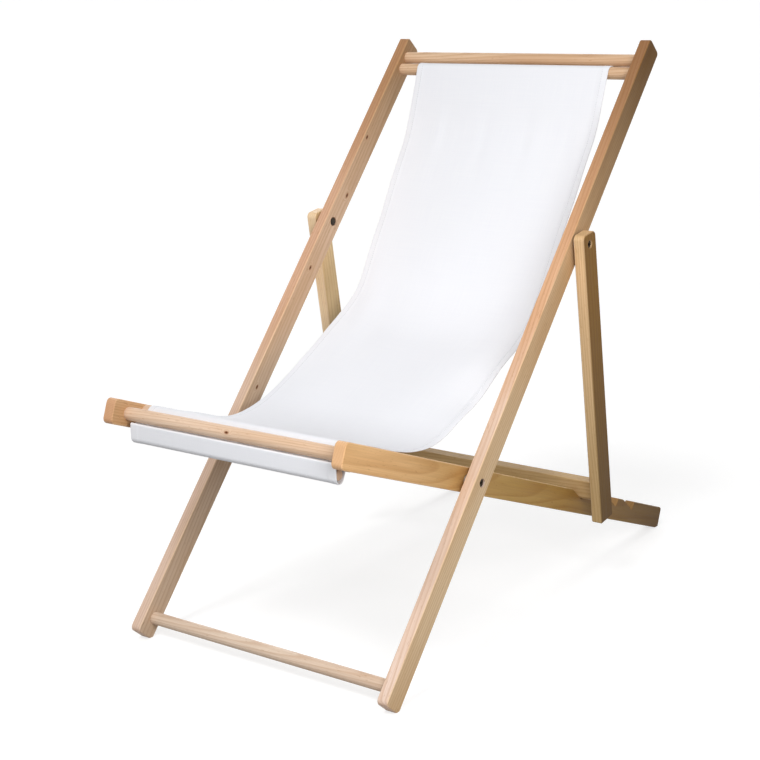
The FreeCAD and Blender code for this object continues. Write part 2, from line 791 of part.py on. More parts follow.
def canvas_trim(front, bend, top):
    """Return what is cut from the right of the canvas, so that its edge draws in at the bend.

    The arguments are the places along Y of the front end, the bend and the top.
    """
    far = size("canvas_width") / 2 + size("rail_thickness")
    above = Vector(far, top, 0)
    below = Vector(far, front, 0)
    start = Vector(size("canvas_width") / 2, front, 0)
    middle = Vector(size("canvas_bend_width") / 2, bend, 0)
    end = Vector(size("canvas_width") / 2, top, 0)
    edges = [
        Part.Arc(start, middle, end).toShape(),
        Part.LineSegment(end, above).toShape(),
        Part.LineSegment(above, below).toShape(),
        Part.LineSegment(below, start).toShape(),
    ]
    return Part.Face(Part.Wire(edges))


def make_sling(places):
    """Return the canvas: a pocket behind the top bars, the hanging back and seat, and a front pocket.

    Args:
        places: Where the lower top bar, sling bar and both pocket rods lie, in the chair's axes.
    """
    thickness = size("canvas_thickness")
    clearance = size("canvas_clearance")
    on_bar = size("bar_diameter") / 2 + clearance + thickness / 2
    on_rod = size("pocket_rod_diameter") / 2 + clearance + thickness / 2
    top_bar, sling_bar = places["lower_bar"], places["sling_bar"]
    top_rod, front_rod = places["top_rod"], places["front_rod"]
    back = top_bar + Vector(0, -size("back_point_forward"), -size("back_point_drop"))
    bend = sling_bar + Vector(0, size("bend_point_back"), size("bend_point_rise"))
    low = sling_bar + Vector(0, size("low_point_back"), -size("low_point_drop"))

    # The pocket starts beside the point where the canvas passes from the rod to the lower top bar
    from_rod = cross_heading(top_rod, top_bar, on_rod + on_bar, -1)
    loop = -(2 * math.pi - size("pocket_slit") / on_rod)
    start = top_rod - right_of(from_rod - loop) * on_rod
    down_back = leave_heading(top_bar, on_bar, back)
    over_bar = math.remainder(down_back - from_rod, 2 * math.pi) % (2 * math.pi)
    points = [start] + wrap_corners(top_rod, on_rod, from_rod - loop, loop, LOOP_BENDS)
    radii = [on_rod] * LOOP_BENDS
    points += wrap_corners(top_bar, on_bar, from_rod, over_bar, TOP_WRAP_BENDS)
    radii += [on_bar] * TOP_WRAP_BENDS

    points += [back, bend, low]
    radii += [size("back_radius"), size("bend_radius"), size("seat_radius")]

    # It crosses the sling bar and drops between the front bars into the second pocket
    onto_bar = reach_heading(low, sling_bar, on_bar)
    to_rod = cross_heading(sling_bar, front_rod, on_bar + on_rod, 1)
    wrap = math.remainder(to_rod - onto_bar, 2 * math.pi)
    points += wrap_corners(sling_bar, on_bar, onto_bar, wrap, FRONT_WRAP_BENDS)
    radii += [on_bar] * FRONT_WRAP_BENDS
    hem_angle = math.radians(size("pocket_hem_angle"))
    loop = -(math.pi + hem_angle)
    points += wrap_corners(front_rod, on_rod, to_rod, loop, POCKET_BENDS)
    radii += [on_rod] * POCKET_BENDS
    hem_heading = to_rod + loop
    hem_start = front_rod - right_of(hem_heading) * on_rod
    beside = thickness + clearance
    hem_run = (on_rod * (1 + math.cos(hem_angle)) - beside) / math.sin(hem_angle)
    hem_corner = hem_start + heading_vector(hem_heading) * hem_run
    points += [hem_corner, hem_corner - heading_vector(to_rod) * size("pocket_hem_length")]
    radii += [thickness]

    prism = canvas_prism(points, radii, size("canvas_width") + size("rail_thickness"))
    box = prism.BoundBox
    trim = canvas_trim(box.YMin - OVERCUT, bend.y, box.YMax + OVERCUT)
    trim.translate(Vector(0, 0, box.ZMin - OVERCUT))
    side = trim.extrude(Vector(0, 0, box.ZLength + 2 * OVERCUT))
    other = side.mirror(Vector(0, 0, 0), Vector(1, 0, 0))
    sling = doc.addObject("Part::Feature", "sling")
    sling.Label = "sling"
    sling.Shape = prism.cut(side).cut(other)
    return sling


def chair_frames(depth_shift):
    """Return the placements of the three frames and their pivots, in the chair's axes."""
    seat_pivot = Vector(0, depth_shift, size("pivot_height"))
    along_x = Vector(1, 0, 0)
    long_frame = Placement(seat_pivot, Rotation(along_x, size("long_slope")))
    seat_frame = Placement(seat_pivot, Rotation(along_x, -size("seat_slope")))
    prop_pivot = long_frame.multVec(Vector(0, size("seat_to_prop_pivot"), 0))
    # The prop's own Y runs up the prop and its Z to the front
    prop_frame = Placement(prop_pivot, Rotation(along_x, 90 + size("prop_lean")))
    return long_frame, seat_frame, prop_frame


def moved_by(frame, across, along, height):
    """Return a frame's placement moved in that frame's own axes, by numbers."""
    return frame.multiply(Placement(Vector(across, along, height), Rotation()))


def brad_places(frame, inner_plane, bars):
    """Return where the brads of a pair of rails stand, upright from the rails' lower edges."""
    inset = inner_plane + size("brad_inset")
    under = -size("rail_depth") / 2 + size("brad_sunk")
    return [moved_by(frame, side * inset, along, under) for along in bars for side in (-1, 1)]


def dowel_places(frame, inner_plane):
    """Return where the four stretcher dowels start, each pointing to the right."""
    starts = [-(inner_plane + size("dowel_in_prop")), inner_plane - size("dowel_in_stretcher")]
    to_right = Placement(Vector(), Rotation(Vector(0, 1, 0), 90))
    places = []
    for start in starts:
        for rise in (size("dowel_lower_rise"), size("dowel_lower_rise") + size("dowel_pitch")):
            along = rise - size("stretcher_reach")
            place = moved_by(frame, start, along, -size("stretcher_setback"))
            places.append(place.multiply(to_right))
    return places


def build():
    """Make every piece, seat it in the chair and return the nodes in the order they are written."""
    fill_sheet()
    add_pose(solve_pose())

    long_rail = make_long_rail()
    seat_rail = make_seat_rail()
    long_middle = value_of(sheet, f"{LONG_INNER} + Sizes.rail_thickness / 2")
    seat_middle = value_of(sheet, f"{SEAT_INNER} + Sizes.rail_thickness / 2")
    prop_middle = value_of(sheet, f"{PROP_INNER} + Sizes.rail_thickness / 2")

    # The rails set the chair's depth, and its middle is the origin
    long_frame, seat_frame, prop_frame = chair_frames(0.0)
    long_rail.Placement = moved_by(long_frame, long_middle, 0, 0)
    seat_rail.Placement = moved_by(seat_frame, seat_middle, 0, 0)
    doc.recompute()
    box = Part.makeCompound([long_rail.Shape, seat_rail.Shape]).optimalBoundingBox()
    long_frame, seat_frame, prop_frame = chair_frames(-(box.YMin + box.YMax) / 2)
    long_rail.Placement = moved_by(long_frame, long_middle, 0, 0)
    seat_rail.Placement = moved_by(seat_frame, seat_middle, 0, 0)

    prop = make_prop()
    prop.Placement = moved_by(prop_frame, prop_middle, 0, 0)
    stretcher = make_stretcher()
    stretcher.Placement = moved_by(
        prop_frame, 0, -size("stretcher_reach"), -size("stretcher_setback")
    )

    nodes = [long_rail, seat_rail, prop, stretcher]
    bars = {
        "foot_bar": (long_frame, LONG_INNER, FOOT_BAR, "-Sizes.foot_bar_setback"),
        "top_bar_lower": (long_frame, LONG_INNER, LOWER_BAR, "0"),
        "top_bar_upper": (long_frame, LONG_INNER, UPPER_BAR, "0"),
        "front_bar": (seat_frame, SEAT_INNER, FRONT_BAR, "Sizes.front_bar_rise"),
        "sling_bar": (seat_frame, SEAT_INNER, SLING_BAR, "Sizes.sling_bar_rise"),
    }
    centres = {}
    for label, (frame, inner_plane, along, across) in bars.items():
        bar = make_bar(label, inner_plane)
        bar.Placement = moved_by(frame, 0, value_of(sheet, along), value_of(sheet, across))
        centres[label] = bar.Placement.Base
        nodes.append(bar)

    # The upper pocket lies against both top bars, and the front one hangs below the front bars
    rod_gap = size("bar_diameter") / 2 + size("pocket_rod_diameter") / 2
    rod_gap += size("canvas_thickness") + 2 * size("canvas_clearance")
    half_pitch = size("top_bar_pitch") / 2
    behind = math.sqrt(rod_gap**2 - half_pitch**2)
    rods = {
        "top_pocket_rod": moved_by(
            long_frame, 0, value_of(sheet, LOWER_BAR) + half_pitch, -behind
        ),
        "front_pocket_rod": moved_by(
            seat_frame, 0, value_of(sheet, f"{SEAT_FRONT} + Sizes.pocket_rod_along"),
            -size("pocket_rod_drop"),
        ),
    }
    for label, place in rods.items():
        rod = make_pocket_rod(label)
        rod.Placement = place
        centres[label] = place.Base
        nodes.append(rod)
    nodes.append(make_sling({
        "lower_bar": centres["top_bar_lower"],
        "sling_bar": centres["sling_bar"],
        "top_rod": centres["top_pocket_rod"],
        "front_rod": centres["front_pocket_rod"],
    }))

    seat_pivot_pieces = [
        make_bolt("seat_pivot_bolt_right", LONG_OUTER, SEAT_INNER),
        make_ring("seat_pivot_spacer_right", SEAT_OUTER, LONG_INNER, "Sizes.spacer_diameter"),
        make_nut("seat_pivot_nut_right", SEAT_INNER),
    ]
    prop_pivot_pieces = [
        make_bolt("prop_pivot_bolt_right", PROP_OUTER, LONG_INNER),
        make_ring("prop_pivot_washer_right", LONG_OUTER, PROP_INNER, "Sizes.washer_diameter"),
        make_nut("prop_pivot_nut_right", LONG_INNER),
    ]
    for piece in seat_pivot_pieces:
        piece.Placement = long_frame
    for piece in prop_pivot_pieces:
        piece.Placement = moved_by(long_frame, 0, size("seat_to_prop_pivot"), 0)
    nodes += seat_pivot_pieces + prop_pivot_pieces

    long_bars = [value_of(sheet, along) for along in (FOOT_BAR, LOWER_BAR, UPPER_BAR)]
    seat_bars = [value_of(sheet, along) for along in (FRONT_BAR, SLING_BAR)]
    nodes.append(make_brads("long_frame_brads",
                            brad_places(long_frame, value_of(sheet, LONG_INNER), long_bars)))
    nodes.append(make_brads("seat_frame_brads",
                            brad_places(seat_frame, value_of(sheet, SEAT_INNER), seat_bars)))
    nodes.append(make_dowels("stretcher_dowels", dowel_places(prop_frame, value_of(sheet, PROP_INNER))))

    for piece in [long_rail, seat_rail, prop] + seat_pivot_pieces + prop_pivot_pieces:
        nodes.append(mirrored(piece, piece.Label.replace("_right", "_left")))
    doc.recompute()
    return nodes


def check(nodes):
    """Stop if any object failed to build or any piece has an empty or broken shape."""
    for item in doc.Objects:
        if "Invalid" in item.State or "Error" in item.State:
            raise RuntimeError(f"{item.Label} did not build: {item.State}")
    for node in nodes:
        if node.Shape.isNull() or not node.Shape.isValid() or not node.Shape.Solids:
            raise RuntimeError(f"{node.Label} is not a sound solid")


def write(nodes):
    """Write each piece to a STEP file of its own."""
    os.makedirs("parts", exist_ok=True)
    for node in nodes:
        node.Shape.exportStep(f"parts/{node.Label}.step")


nodes = build()
check(nodes)
write(nodes)
for name in ("long_slope", "seat_slope", "prop_lean", "pivot_height"):
    print(name, round(size(name), 3))
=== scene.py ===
"""Folding beech deck chair with a hanging canvas sling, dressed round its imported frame.

The rails, bars, bolts and spacers are the frame's own pieces and get their finishes here.
The sling is made anew as a hemmed cloth with a sewn pocket at each end, and its stitching.
Sizes are in metres. X runs to the right as seen from the front, the front of the chair is at -Y
and the ground is at Z = 0.
"""

import logging
import math
from collections.abc import Sequence
from dataclasses import dataclass
from enum import Enum

import bpy
import numpy as np
from mathutils import Matrix, Vector


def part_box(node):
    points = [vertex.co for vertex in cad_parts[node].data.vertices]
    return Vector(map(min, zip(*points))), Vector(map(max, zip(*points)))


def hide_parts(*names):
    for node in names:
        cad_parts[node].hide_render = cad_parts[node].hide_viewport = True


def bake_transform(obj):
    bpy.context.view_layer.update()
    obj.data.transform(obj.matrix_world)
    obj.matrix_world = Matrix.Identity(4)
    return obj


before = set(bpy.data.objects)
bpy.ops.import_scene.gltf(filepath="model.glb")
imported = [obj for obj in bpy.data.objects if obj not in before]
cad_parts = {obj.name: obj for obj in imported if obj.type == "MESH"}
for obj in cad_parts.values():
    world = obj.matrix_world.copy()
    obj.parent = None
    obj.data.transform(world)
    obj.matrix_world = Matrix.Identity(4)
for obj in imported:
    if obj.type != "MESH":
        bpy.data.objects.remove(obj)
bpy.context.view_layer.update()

LOG = logging.getLogger("deck_chair")

LONG_SLOPE = math.radians(47.973)
SEAT_SLOPE = math.radians(-21.832)
PROP_SLOPE = math.radians(98.308)
SEAT_PIVOT = (0.0, -0.19368, 0.29841)
PROP_PIVOT = (0.0, 0.11160, 0.63714)
SLING_UV = "cloth"
TINY = 1e-6

# Numbers of a Map Range node's inputs, and of a colour Mix node's inputs and output.
FROM_LOW, FROM_HIGH, TO_LOW, TO_HIGH = 1, 2, 3, 4
SHARE, FIRST, SECOND, MIXED = 0, 6, 7, 2

Point = tuple[float, float, float]
Colour = tuple[float, float, float, float]
Stops = tuple[tuple[float, Colour], ...]
Socket = bpy.types.NodeSocket
Settings = dict[str | int, object]
Links = dict[str | int, Socket]
Layer = tuple[Settings, Links]

COVER: Settings = {"data_type": "RGBA"}
MULTIPLY: Settings = {"data_type": "RGBA", "blend_type": "MULTIPLY"}
SMOOTH: Settings = {"interpolation_type": "SMOOTHSTEP"}


def linear(code: str) -> Colour:
    """Turn an sRGB hex colour into linear red, green, blue and full alpha.

    Args:
        code: Six hex digits after a hash.

    Returns:
        The linear colour.
    """
    low_end, slope, offset, power = 0.04045, 12.92, 0.055, 2.4
    parts = [int(code[place : place + 2], 16) / 255 for place in (1, 3, 5)]
    red, green, blue = (
        part / slope if part <= low_end else ((part + offset) / (1 + offset)) ** power for part in parts
    )
    return red, green, blue, 1.0


def grey(level: float) -> Colour:
    """Return a linear grey."""
    return level, level, level, 1.0


def times(colour: Colour, factor: Colour) -> Colour:
    """Return the product of two colours, part by part."""
    return tuple(part * share for part, share in zip(colour, factor))


def set_stops(ramp: bpy.types.Node, stops: Stops) -> None:
    """Replace the stops of a colour ramp.

    Args:
        ramp: The colour ramp's node.
        stops: The new stops' places and colours.
    """
    elements = ramp.color_ramp.elements
    while len(elements) < len(stops):
        elements.new(1.0)
    for element, (place, colour) in zip(elements, stops):
        element.position = place
        element.color = colour


def add_node(
    tree: bpy.types.NodeTree, kind: str, settings: Settings | None = None, links: Links | None = None
) -> bpy.types.Node:
    """Add one node, set its properties and input values, and link its inputs.

    Args:
        tree: Node tree of a material or of the world.
        kind: The node's type name without its ShaderNode prefix.
        settings: Input values by socket number or name, properties by name, and a ramp's `stops`.
        links: Output sockets, by the number or name of the input that each feeds.

    Returns:
        The new node.
    """
    made = tree.nodes.new(f"ShaderNode{kind}")
    for key, value in (settings or {}).items():
        if key == "stops":
            set_stops(made, value)
        elif isinstance(key, int) or key in made.inputs:
            made.inputs[key].default_value = value
        else:
            setattr(made, key, value)
    for key, socket in (links or {}).items():
        tree.links.new(socket, made.inputs[key])
    return made


def new_object(name: str, data: bpy.types.ID) -> bpy.types.Object:
    """Put a mesh, a lamp or a camera into the scene.

    Args:
        name: Name of the object.
        data: The mesh, lamp or camera.

    Returns:
        The new object, at the origin.
    """
    made = bpy.data.objects.new(name, data)
    bpy.context.scene.collection.objects.link(made)
    return made


def new_piece(name: str, points: np.ndarray, faces: Sequence[Sequence[int]]) -> bpy.types.Object:
    """Put points and faces into a smooth mesh object at the origin.

    Args:
        name: Name of the piece.
        points: Places in the row frame, one row each.
        faces: Corner numbers of each face, anticlockwise seen from outside.

    Returns:
        The new object, linked to the scene.
    """
    mesh = bpy.data.meshes.new(name)
    mesh.from_pydata(points.tolist(), [], faces)
    mesh.validate()
    mesh.shade_smooth()
    return new_object(name, mesh)


def report(piece: bpy.types.Object) -> None:
    """Log a piece's name, its number of faces and its finish."""
    LOG.info("%s: %d faces, %s", piece.name, len(piece.data.polygons), piece.data.materials[0].name)


def set_finish(node: str, finish: bpy.types.Material) -> None:
    """Put a finish into the material slots of a CAD node.

    Args:
        node: The node's name.
        finish: Its finish.
    """
    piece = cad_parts[node]
    if not piece.data.materials:
        piece.data.materials.append(finish)
    for number in range(len(piece.data.materials)):
        piece.data.materials[number] = finish
    report(piece)


def smooth_step(low: float, high: float, value: np.ndarray) -> np.ndarray:
    """Return 0 below `low`, 1 above `high`, and the cubic 3t^2 - 2t^3 between them."""
    share = np.clip((value - low) / (high - low), 0.0, 1.0)
    return share * share * (3 - 2 * share)


def swell(value: np.ndarray, at: float, reach: float) -> np.ndarray:
    """Return a soft hump, 1 at `at`, that falls off as exp(-((value - at) / reach)^2)."""
    return np.exp(-(((value - at) / reach) ** 2))


@dataclass(frozen=True)
class Stock:
    """Where a wooden piece lies: its grain runs along its own Y axis, and Z is its upper side.

    Both directions are unit vectors, square to each other. The half sizes across the grain are
    zero for a round bar, which has no edges to wear.
    """

    middle: Point
    along: Point
    upper: Point
    half_thickness: float = 0.0
    half_depth: float = 0.0

    def axes(self) -> Matrix:
        """Return the piece's own axes as the rows of a matrix: across, along and upper."""
        along, upper = Vector(self.along), Vector(self.upper)
        return Matrix((along.cross(upper), along, upper))

    def turn(self) -> Point:
        """Return the Euler angles of the piece's own axes."""
        return tuple(self.axes().transposed().to_euler("XYZ"))

    def own_place(self, place: Point) -> Point:
        """Return a place of the row frame in the piece's own axes."""
        return tuple(self.axes() @ (Vector(place) - Vector(self.middle)))


@dataclass(frozen=True)
class Knot:
    """A small pin knot: its place in the piece's own axes and its radius."""

    place: Point
    radius: float


class Material:
    """Start of every finish: a named node material with one Principled shader.

    Its `place` and `normal` are those of the surface, in Object coordinates.
    """

    def __init__(self, name: str) -> None:
        """Make the material, its coordinates and its shader.

        Args:
            name: Name of the material.
        """
        self.material = bpy.data.materials.new(name)
        self.material.use_nodes = True
        self.tree = self.material.node_tree
        self.shader = self.tree.nodes["Principled BSDF"]
        coordinates = add_node(self.tree, "TexCoord")
        self.place = coordinates.outputs["Object"]
        self.normal = coordinates.outputs["Normal"]

    def add(
        self,
        kind: str,
        settings: Settings | None = None,
        links: Links | None = None,
        output: int | str = 0,
    ) -> Socket:
        """Add one node to this material and return one of its outputs."""
        return add_node(self.tree, kind, settings, links).outputs[output]

    def set(self, **values: object) -> None:
        """Set values on the shader's own sockets, with underscores for spaces in their names."""
        for name, value in values.items():
            self.shader.inputs[name.replace("_", " ")].default_value = value

    def feed(self, name: str, socket: Socket) -> None:
        """Link a socket to one of the shader's inputs."""
        self.tree.links.new(socket, self.shader.inputs[name])


@dataclass(frozen=True)
class PaintedShade:
    """A stretch of a board over which its colour goes over to that colour times `tint`.

    The broad faces and the edges take the shares `broad` and `edge` of it. The darkening is painted
    shade:
    it stands in for light that falls off or is blocked along the board.
    """

    start: float
    end: float
    tint: str
    broad: float = 1.0
    edge: float = 0.72


class BeechTone(Enum):
    """The pale and the warm sRGB colour between which a board's own colour wanders."""

    ROSY = ("#E9D1C2", "#D8B89F")
    ROUND_ROSY = ("#F1D6BE", "#E2C0A1")
    APRICOT = ("#E8BC96", "#D7A57C")
    GOLDEN = ("#F2CBA4", "#DFB284")
    CREAM = ("#FFE8C6", "#F4D4AA")
    STRAW = ("#E9C89E", "#D5B080")
    OLIVE = ("#D3B588", "#BC9A66")
    GREYED = ("#E4D0BC", "#D4B9A2")
    TOP_BAR = ("#E6C5A4", "#D0A985")


@dataclass(frozen=True)
class Grain:
    """A noise drawn out along the grain: its scales per metre, its detail and its part of the seed."""

    across: float
    along: float
    detail: float
    offset: float


@dataclass(frozen=True)
class Beech:
    """Planed beech under a thin satin oil: pinkish tan, with fine streaks and short flecks.

    Growth rings are cylinders about a pith line beside the board, so that faces and ends agree.
    The two broad faces have the colour of the edges times `broad`, a painted shade for how the light
    falls on them. Each stretch of painted shade, given along the board's own grain, darkens the board
    further toward one end. While the finish is made, the material's `place` is in the piece's own axes.
    """

    stock: Stock
    tone: BeechTone
    seed: float
    pith: tuple[float, float] = (0.045, -0.070)
    tilt: tuple[float, float] = (0.020, 0.030)
    # Tint of the two broad faces: painted shade, darker sides for how the light falls on them.
    broad: str = "#F4F4E5"
    # Stretches of painted shade that darken the board toward one end.
    painted_shades: tuple[PaintedShade, ...] = ()
    knots: tuple[Knot, ...] = ()

    FIBRE = Grain(620.0, 9.0, 2.0, 0.0)  # streaks about 1.5 mm wide
    FLECK = Grain(520.0, 95.0, 1.0, 7.3)  # flecks about 1 mm wide and 6 mm long, twice the real ones
    CLOUD = Grain(22.0, 2.6, 3.0, 3.1)
    PALE_AT = 0.36
    WARM_AT = 0.66

    RING_SPACING = 0.0042  # real rings are 2 to 3 mm apart, drawn wider so that they show
    RING_BROWN = (0.86, 0.78, 0.70, 1.0)
    RING_LINE = (
        (0.0, grey(0.0)),
        (0.45, grey(0.06)),
        (0.84, grey(0.55)),
        (0.93, grey(0.42)),
        (1.0, grey(0.0)),
    )
    WANDER = 0.026  # how far the rings leave their cylinders for a whole unit of noise
    WANDER_SCALE = (9.0, 1.6, 9.0)
    WANDER_OFFSET = 11.0

    STREAK_STOPS = ((0.32, (0.86, 0.82, 0.77, 1.0)), (0.62, (1.04, 1.04, 1.04, 1.0)))
    FLECK_STOPS = ((0.66, grey(1.0)), (0.71, (0.76, 0.67, 0.58, 1.0)))
    FIGURE_SHARE = 0.6

    KNOT_REACH = 2.2  # knot radii from a knot's middle to the end of its stain
    KNOT_LENGTH = 1.8  # how much longer the stain is along the grain
    KNOT_STOPS = (
        (0.0, (0.10, 0.05, 0.03, 1.0)),
        (0.40, (0.20, 0.10, 0.06, 1.0)),
        (0.52, (0.55, 0.36, 0.24, 1.0)),
        (1.0, grey(1.0)),
    )
    # How many rings a knot pushes aside, from its middle to 2.2 reaches away, where they run straight.
    SWIRL = SMOOTH | {FROM_HIGH: 2.2, TO_LOW: 2.4, TO_HIGH: 0.0}

    FACING = {FROM_LOW: 0.55, FROM_HIGH: 0.85}  # cosines at which a face starts to count, and does fully
    END_TINT = (0.98, 0.94, 0.92, 1.0)
    END_SHARE = 0.6

    NOISE = {FROM_LOW: 0.3, FROM_HIGH: 0.7}  # most of a noise lies between these two
    ROUGHNESS = NOISE | {TO_LOW: 0.44, TO_HIGH: 0.62}
    RAGGED = NOISE | {TO_LOW: -0.03, TO_HIGH: 0.03}  # how far the border of the painted shade wanders, in metres

    ARRIS = 0.0004  # from a rail's side to where it is rubbed most
    WORN_EDGE = 0.0028
    RUBBED = "#EFD0B2"
    RUBBED_SHARE = {FROM_LOW: 0.35, FROM_HIGH: 0.62, TO_LOW: 0.15, TO_HIGH: 0.8}

    def build(self, name: str) -> bpy.types.Material:
        """Make the material.

        Args:
            name: Name of the material.

        Returns:
            The finished beech, which reads Object coordinates turned into the piece's own axes.
        """
        made = Material(name)
        axes = {"vector_type": "TEXTURE", "Location": self.stock.middle, "Rotation": self.stock.turn()}
        made.place = made.add("Mapping", axes, {0: made.place})
        fibre, fleck, cloud = (self.figure(made, grain) for grain in (self.FIBRE, self.FLECK, self.CLOUD))
        pale, warm = (linear(code) for code in self.tone.value)
        stops = ((self.PALE_AT, pale), (self.WARM_AT, warm))
        colour = made.add("ValToRGB", {"stops": stops}, {0: cloud})
        for settings, links in self.figured(made, fibre, fleck) + self.wear_and_painted_shade(made, cloud):
            colour = made.add("Mix", settings, links | {FIRST: colour}, MIXED)
        made.feed("Base Color", colour)

        made.feed("Roughness", made.add("MapRange", self.ROUGHNESS, {0: fibre}))
        bump = made.add("Bump", {"Strength": 0.35, "Distance": 0.0004}, {"Height": fibre})
        made.feed("Normal", bump)
        made.set(Coat_Weight=0.03, Coat_Roughness=0.35, Specular_IOR_Level=0.20)
        return made.material

    def figured(self, made: Material, fibre: Socket, fleck: Socket) -> list[Layer]:
        """Return the layers of the wood's own figure: rings, streaks, flecks, end grain and knots.

        Args:
            made: The material.
            fibre: The noise of the streaks.
            fleck: The noise of the flecks.

        Returns:
            The layers, the lowest first.
        """
        warm = linear(self.tone.value[1])
        knot = self.knot_distance(made)
        rings = self.rings(made, knot)
        streaks = made.add("ValToRGB", {"stops": self.STREAK_STOPS}, {0: fibre})
        flecks = made.add("ValToRGB", {"stops": self.FLECK_STOPS}, {0: fleck})
        end = self.facing(made, self.stock.along, self.END_SHARE)
        layers = [
            (COVER | {SECOND: times(warm, self.RING_BROWN)}, {SHARE: rings}),
            (MULTIPLY | {SHARE: self.FIGURE_SHARE}, {SECOND: streaks}),
            (MULTIPLY | {SHARE: self.FIGURE_SHARE}, {SECOND: flecks}),
            (COVER | {SECOND: times(warm, self.END_TINT)}, {SHARE: end}),
        ]
        if knot is not None:
            stain = made.add("ValToRGB", {"stops": self.KNOT_STOPS}, {0: knot})
            layers.append((MULTIPLY | {SHARE: 1.0}, {SECOND: stain}))
        return layers

    def wear_and_painted_shade(self, made: Material, cloud: Socket) -> list[Layer]:
        """Return the layers of wear and of painted shade: rubbed edges, darker broad faces and darkening
        along the board.

        Args:
            made: The material.
            cloud: The slow noise.

        Returns:
            The layers, the lowest first.
        """
        layers, broad = [], None
        if self.stock.half_depth:
            rubbed = self.worn_edges(made, cloud)
            broad = self.facing(made, (1.0, 0.0, 0.0), 1.0)
            layers.append((COVER | {SECOND: linear(self.RUBBED)}, {SHARE: rubbed}))
            # Painted shade: the broad faces take a darker tint, for how the light falls on them.
            layers.append((MULTIPLY | {SECOND: linear(self.broad)}, {SHARE: broad}))
        # Painted shade: each stretch darkens the board along its grain, where the light falls off or is
        # blocked.
        for stretch in self.painted_shades:
            share = self.painted_shade_share(made, cloud, broad, stretch)
            layers.append((MULTIPLY | {SECOND: linear(stretch.tint)}, {SHARE: share}))
        return layers

    def figure(self, made: Material, grain: Grain) -> Socket:
        """Return a noise drawn out along the grain.

        Args:
            made: The material.
            grain: Scales and detail of the noise.

        Returns:
            The noise, which lies about a half.
        """
        scale = (grain.across, grain.along, grain.across)
        stretched = made.add("Mapping", {"Scale": scale}, {0: made.place})
        settings = {
            "noise_dimensions": "4D",
            "Scale": 1.0,
            "Detail": grain.detail,
            "Roughness": 0.55,
            "W": self.seed + grain.offset,
        }
        return made.add("TexNoise", settings, {"Vector": stretched})

    def knot_distance(self, made: Material) -> Socket | None:
        """Return the distance to the nearest knot, 1 at the end of its stain.

        Args:
            made: The material.

        Returns:
            The distance, or None where the piece has no knot.
        """
        nearest = None
        for knot in self.knots:
            reach = self.KNOT_REACH * knot.radius
            scale = (reach, self.KNOT_LENGTH * reach, reach)
            about = {"vector_type": "TEXTURE", "Location": knot.place, "Scale": scale}
            near = made.add("Mapping", about, {0: made.place})
            length = made.add("VectorMath", {"operation": "LENGTH"}, {0: near}, "Value")
            if nearest is None:
                nearest = length
            else:
                nearest = made.add("Math", {"operation": "MINIMUM"}, {0: nearest, 1: length})
        return nearest

    def rings(self, made: Material, knot: Socket | None) -> Socket:
        """Return how much late wood shows: one thin soft line in each growth ring.

        The ring number is the wandering distance from the pith line over the ring spacing. Its
        fraction rises slowly through the early wood and falls fast after the late wood.

        Args:
            made: The material.
            knot: Distance to the nearest knot, or None.

        Returns:
            The share of late wood, from 0 to 1.
        """
        slow = made.add("Mapping", {"Scale": self.WANDER_SCALE}, {0: made.place})
        seed = self.seed + self.WANDER_OFFSET
        settings = {"noise_dimensions": "4D", "Scale": 1.0, "Detail": 2.0, "W": seed}
        noise = made.add("TexNoise", settings, {"Vector": slow}, output=1)
        centred = made.add("VectorMath", {"operation": "SUBTRACT", 1: (0.5, 0.5, 0.5)}, {0: noise})
        wander = made.add("VectorMath", {"operation": "SCALE", "Scale": self.WANDER}, {0: centred})
        moved = made.add("VectorMath", {"operation": "ADD"}, {0: made.place, 1: wander})
        location = (self.pith[0], 0.0, self.pith[1])
        rotation = (self.tilt[0], 0.0, self.tilt[1])
        pith = {"vector_type": "TEXTURE", "Location": location, "Rotation": rotation}
        about_pith = made.add("Mapping", pith, {0: moved})
        flat = made.add("VectorMath", {"operation": "MULTIPLY", 1: (1.0, 0.0, 1.0)}, {0: about_pith})
        distance = made.add("VectorMath", {"operation": "LENGTH"}, {0: flat}, "Value")
        number = made.add("Math", {"operation": "DIVIDE", 1: self.RING_SPACING}, {0: distance})
        if knot is not None:
            swirl = made.add("MapRange", self.SWIRL, {0: knot})
            number = made.add("Math", {"operation": "ADD"}, {0: number, 1: swirl})
        part = made.add("Math", {"operation": "FRACT"}, {0: number})
        return made.add("ValToRGB", {"stops": self.RING_LINE}, {0: part})

    def facing(self, made: Material, direction: Point, most: float) -> Socket:
        """Return how squarely the surface faces along or against a direction, by its own normal.

        Args:
            made: The material.
            direction: A unit vector of the row frame.
            most: The value on a face square to the direction.

        Returns:
            A number from 0 to `most`.
        """
        product = {"operation": "DOT_PRODUCT", 1: direction}
        cosine = made.add("VectorMath", product, {0: made.normal}, "Value")
        both = made.add("Math", {"operation": "ABSOLUTE"}, {0: cosine})
        return made.add("MapRange", self.FACING | {TO_HIGH: most}, {0: both})

    def painted_shade_share(
        self, made: Material, cloud: Socket, broad: Socket | None, stretch: PaintedShade
    ) -> Socket:
        """Return how far painted shade darkens the board, with a cloudy border.

        It grows smoothly from the start of the stretch to its end.

        Args:
            made: The material.
            cloud: The slow noise.
            broad: Where the two broad faces are, or None on a round bar.
            stretch: The stretch of painted shade.

        Returns:
            The share of the stretch's tint, from 0 to 1.
        """
        along = made.add("SeparateXYZ", links={0: made.place}, output=1)
        ragged = made.add("MapRange", self.RAGGED, {0: cloud})
        reached = made.add("Math", {"operation": "ADD"}, {0: along, 1: ragged})
        ends = {FROM_LOW: stretch.start, FROM_HIGH: stretch.end}
        share = made.add("MapRange", SMOOTH | ends, {0: reached})
        if broad is None:
            return share
        depth = made.add("MapRange", {TO_LOW: stretch.edge, TO_HIGH: stretch.broad}, {0: broad})
        return made.add("Math", {"operation": "MULTIPLY"}, {0: share, 1: depth})

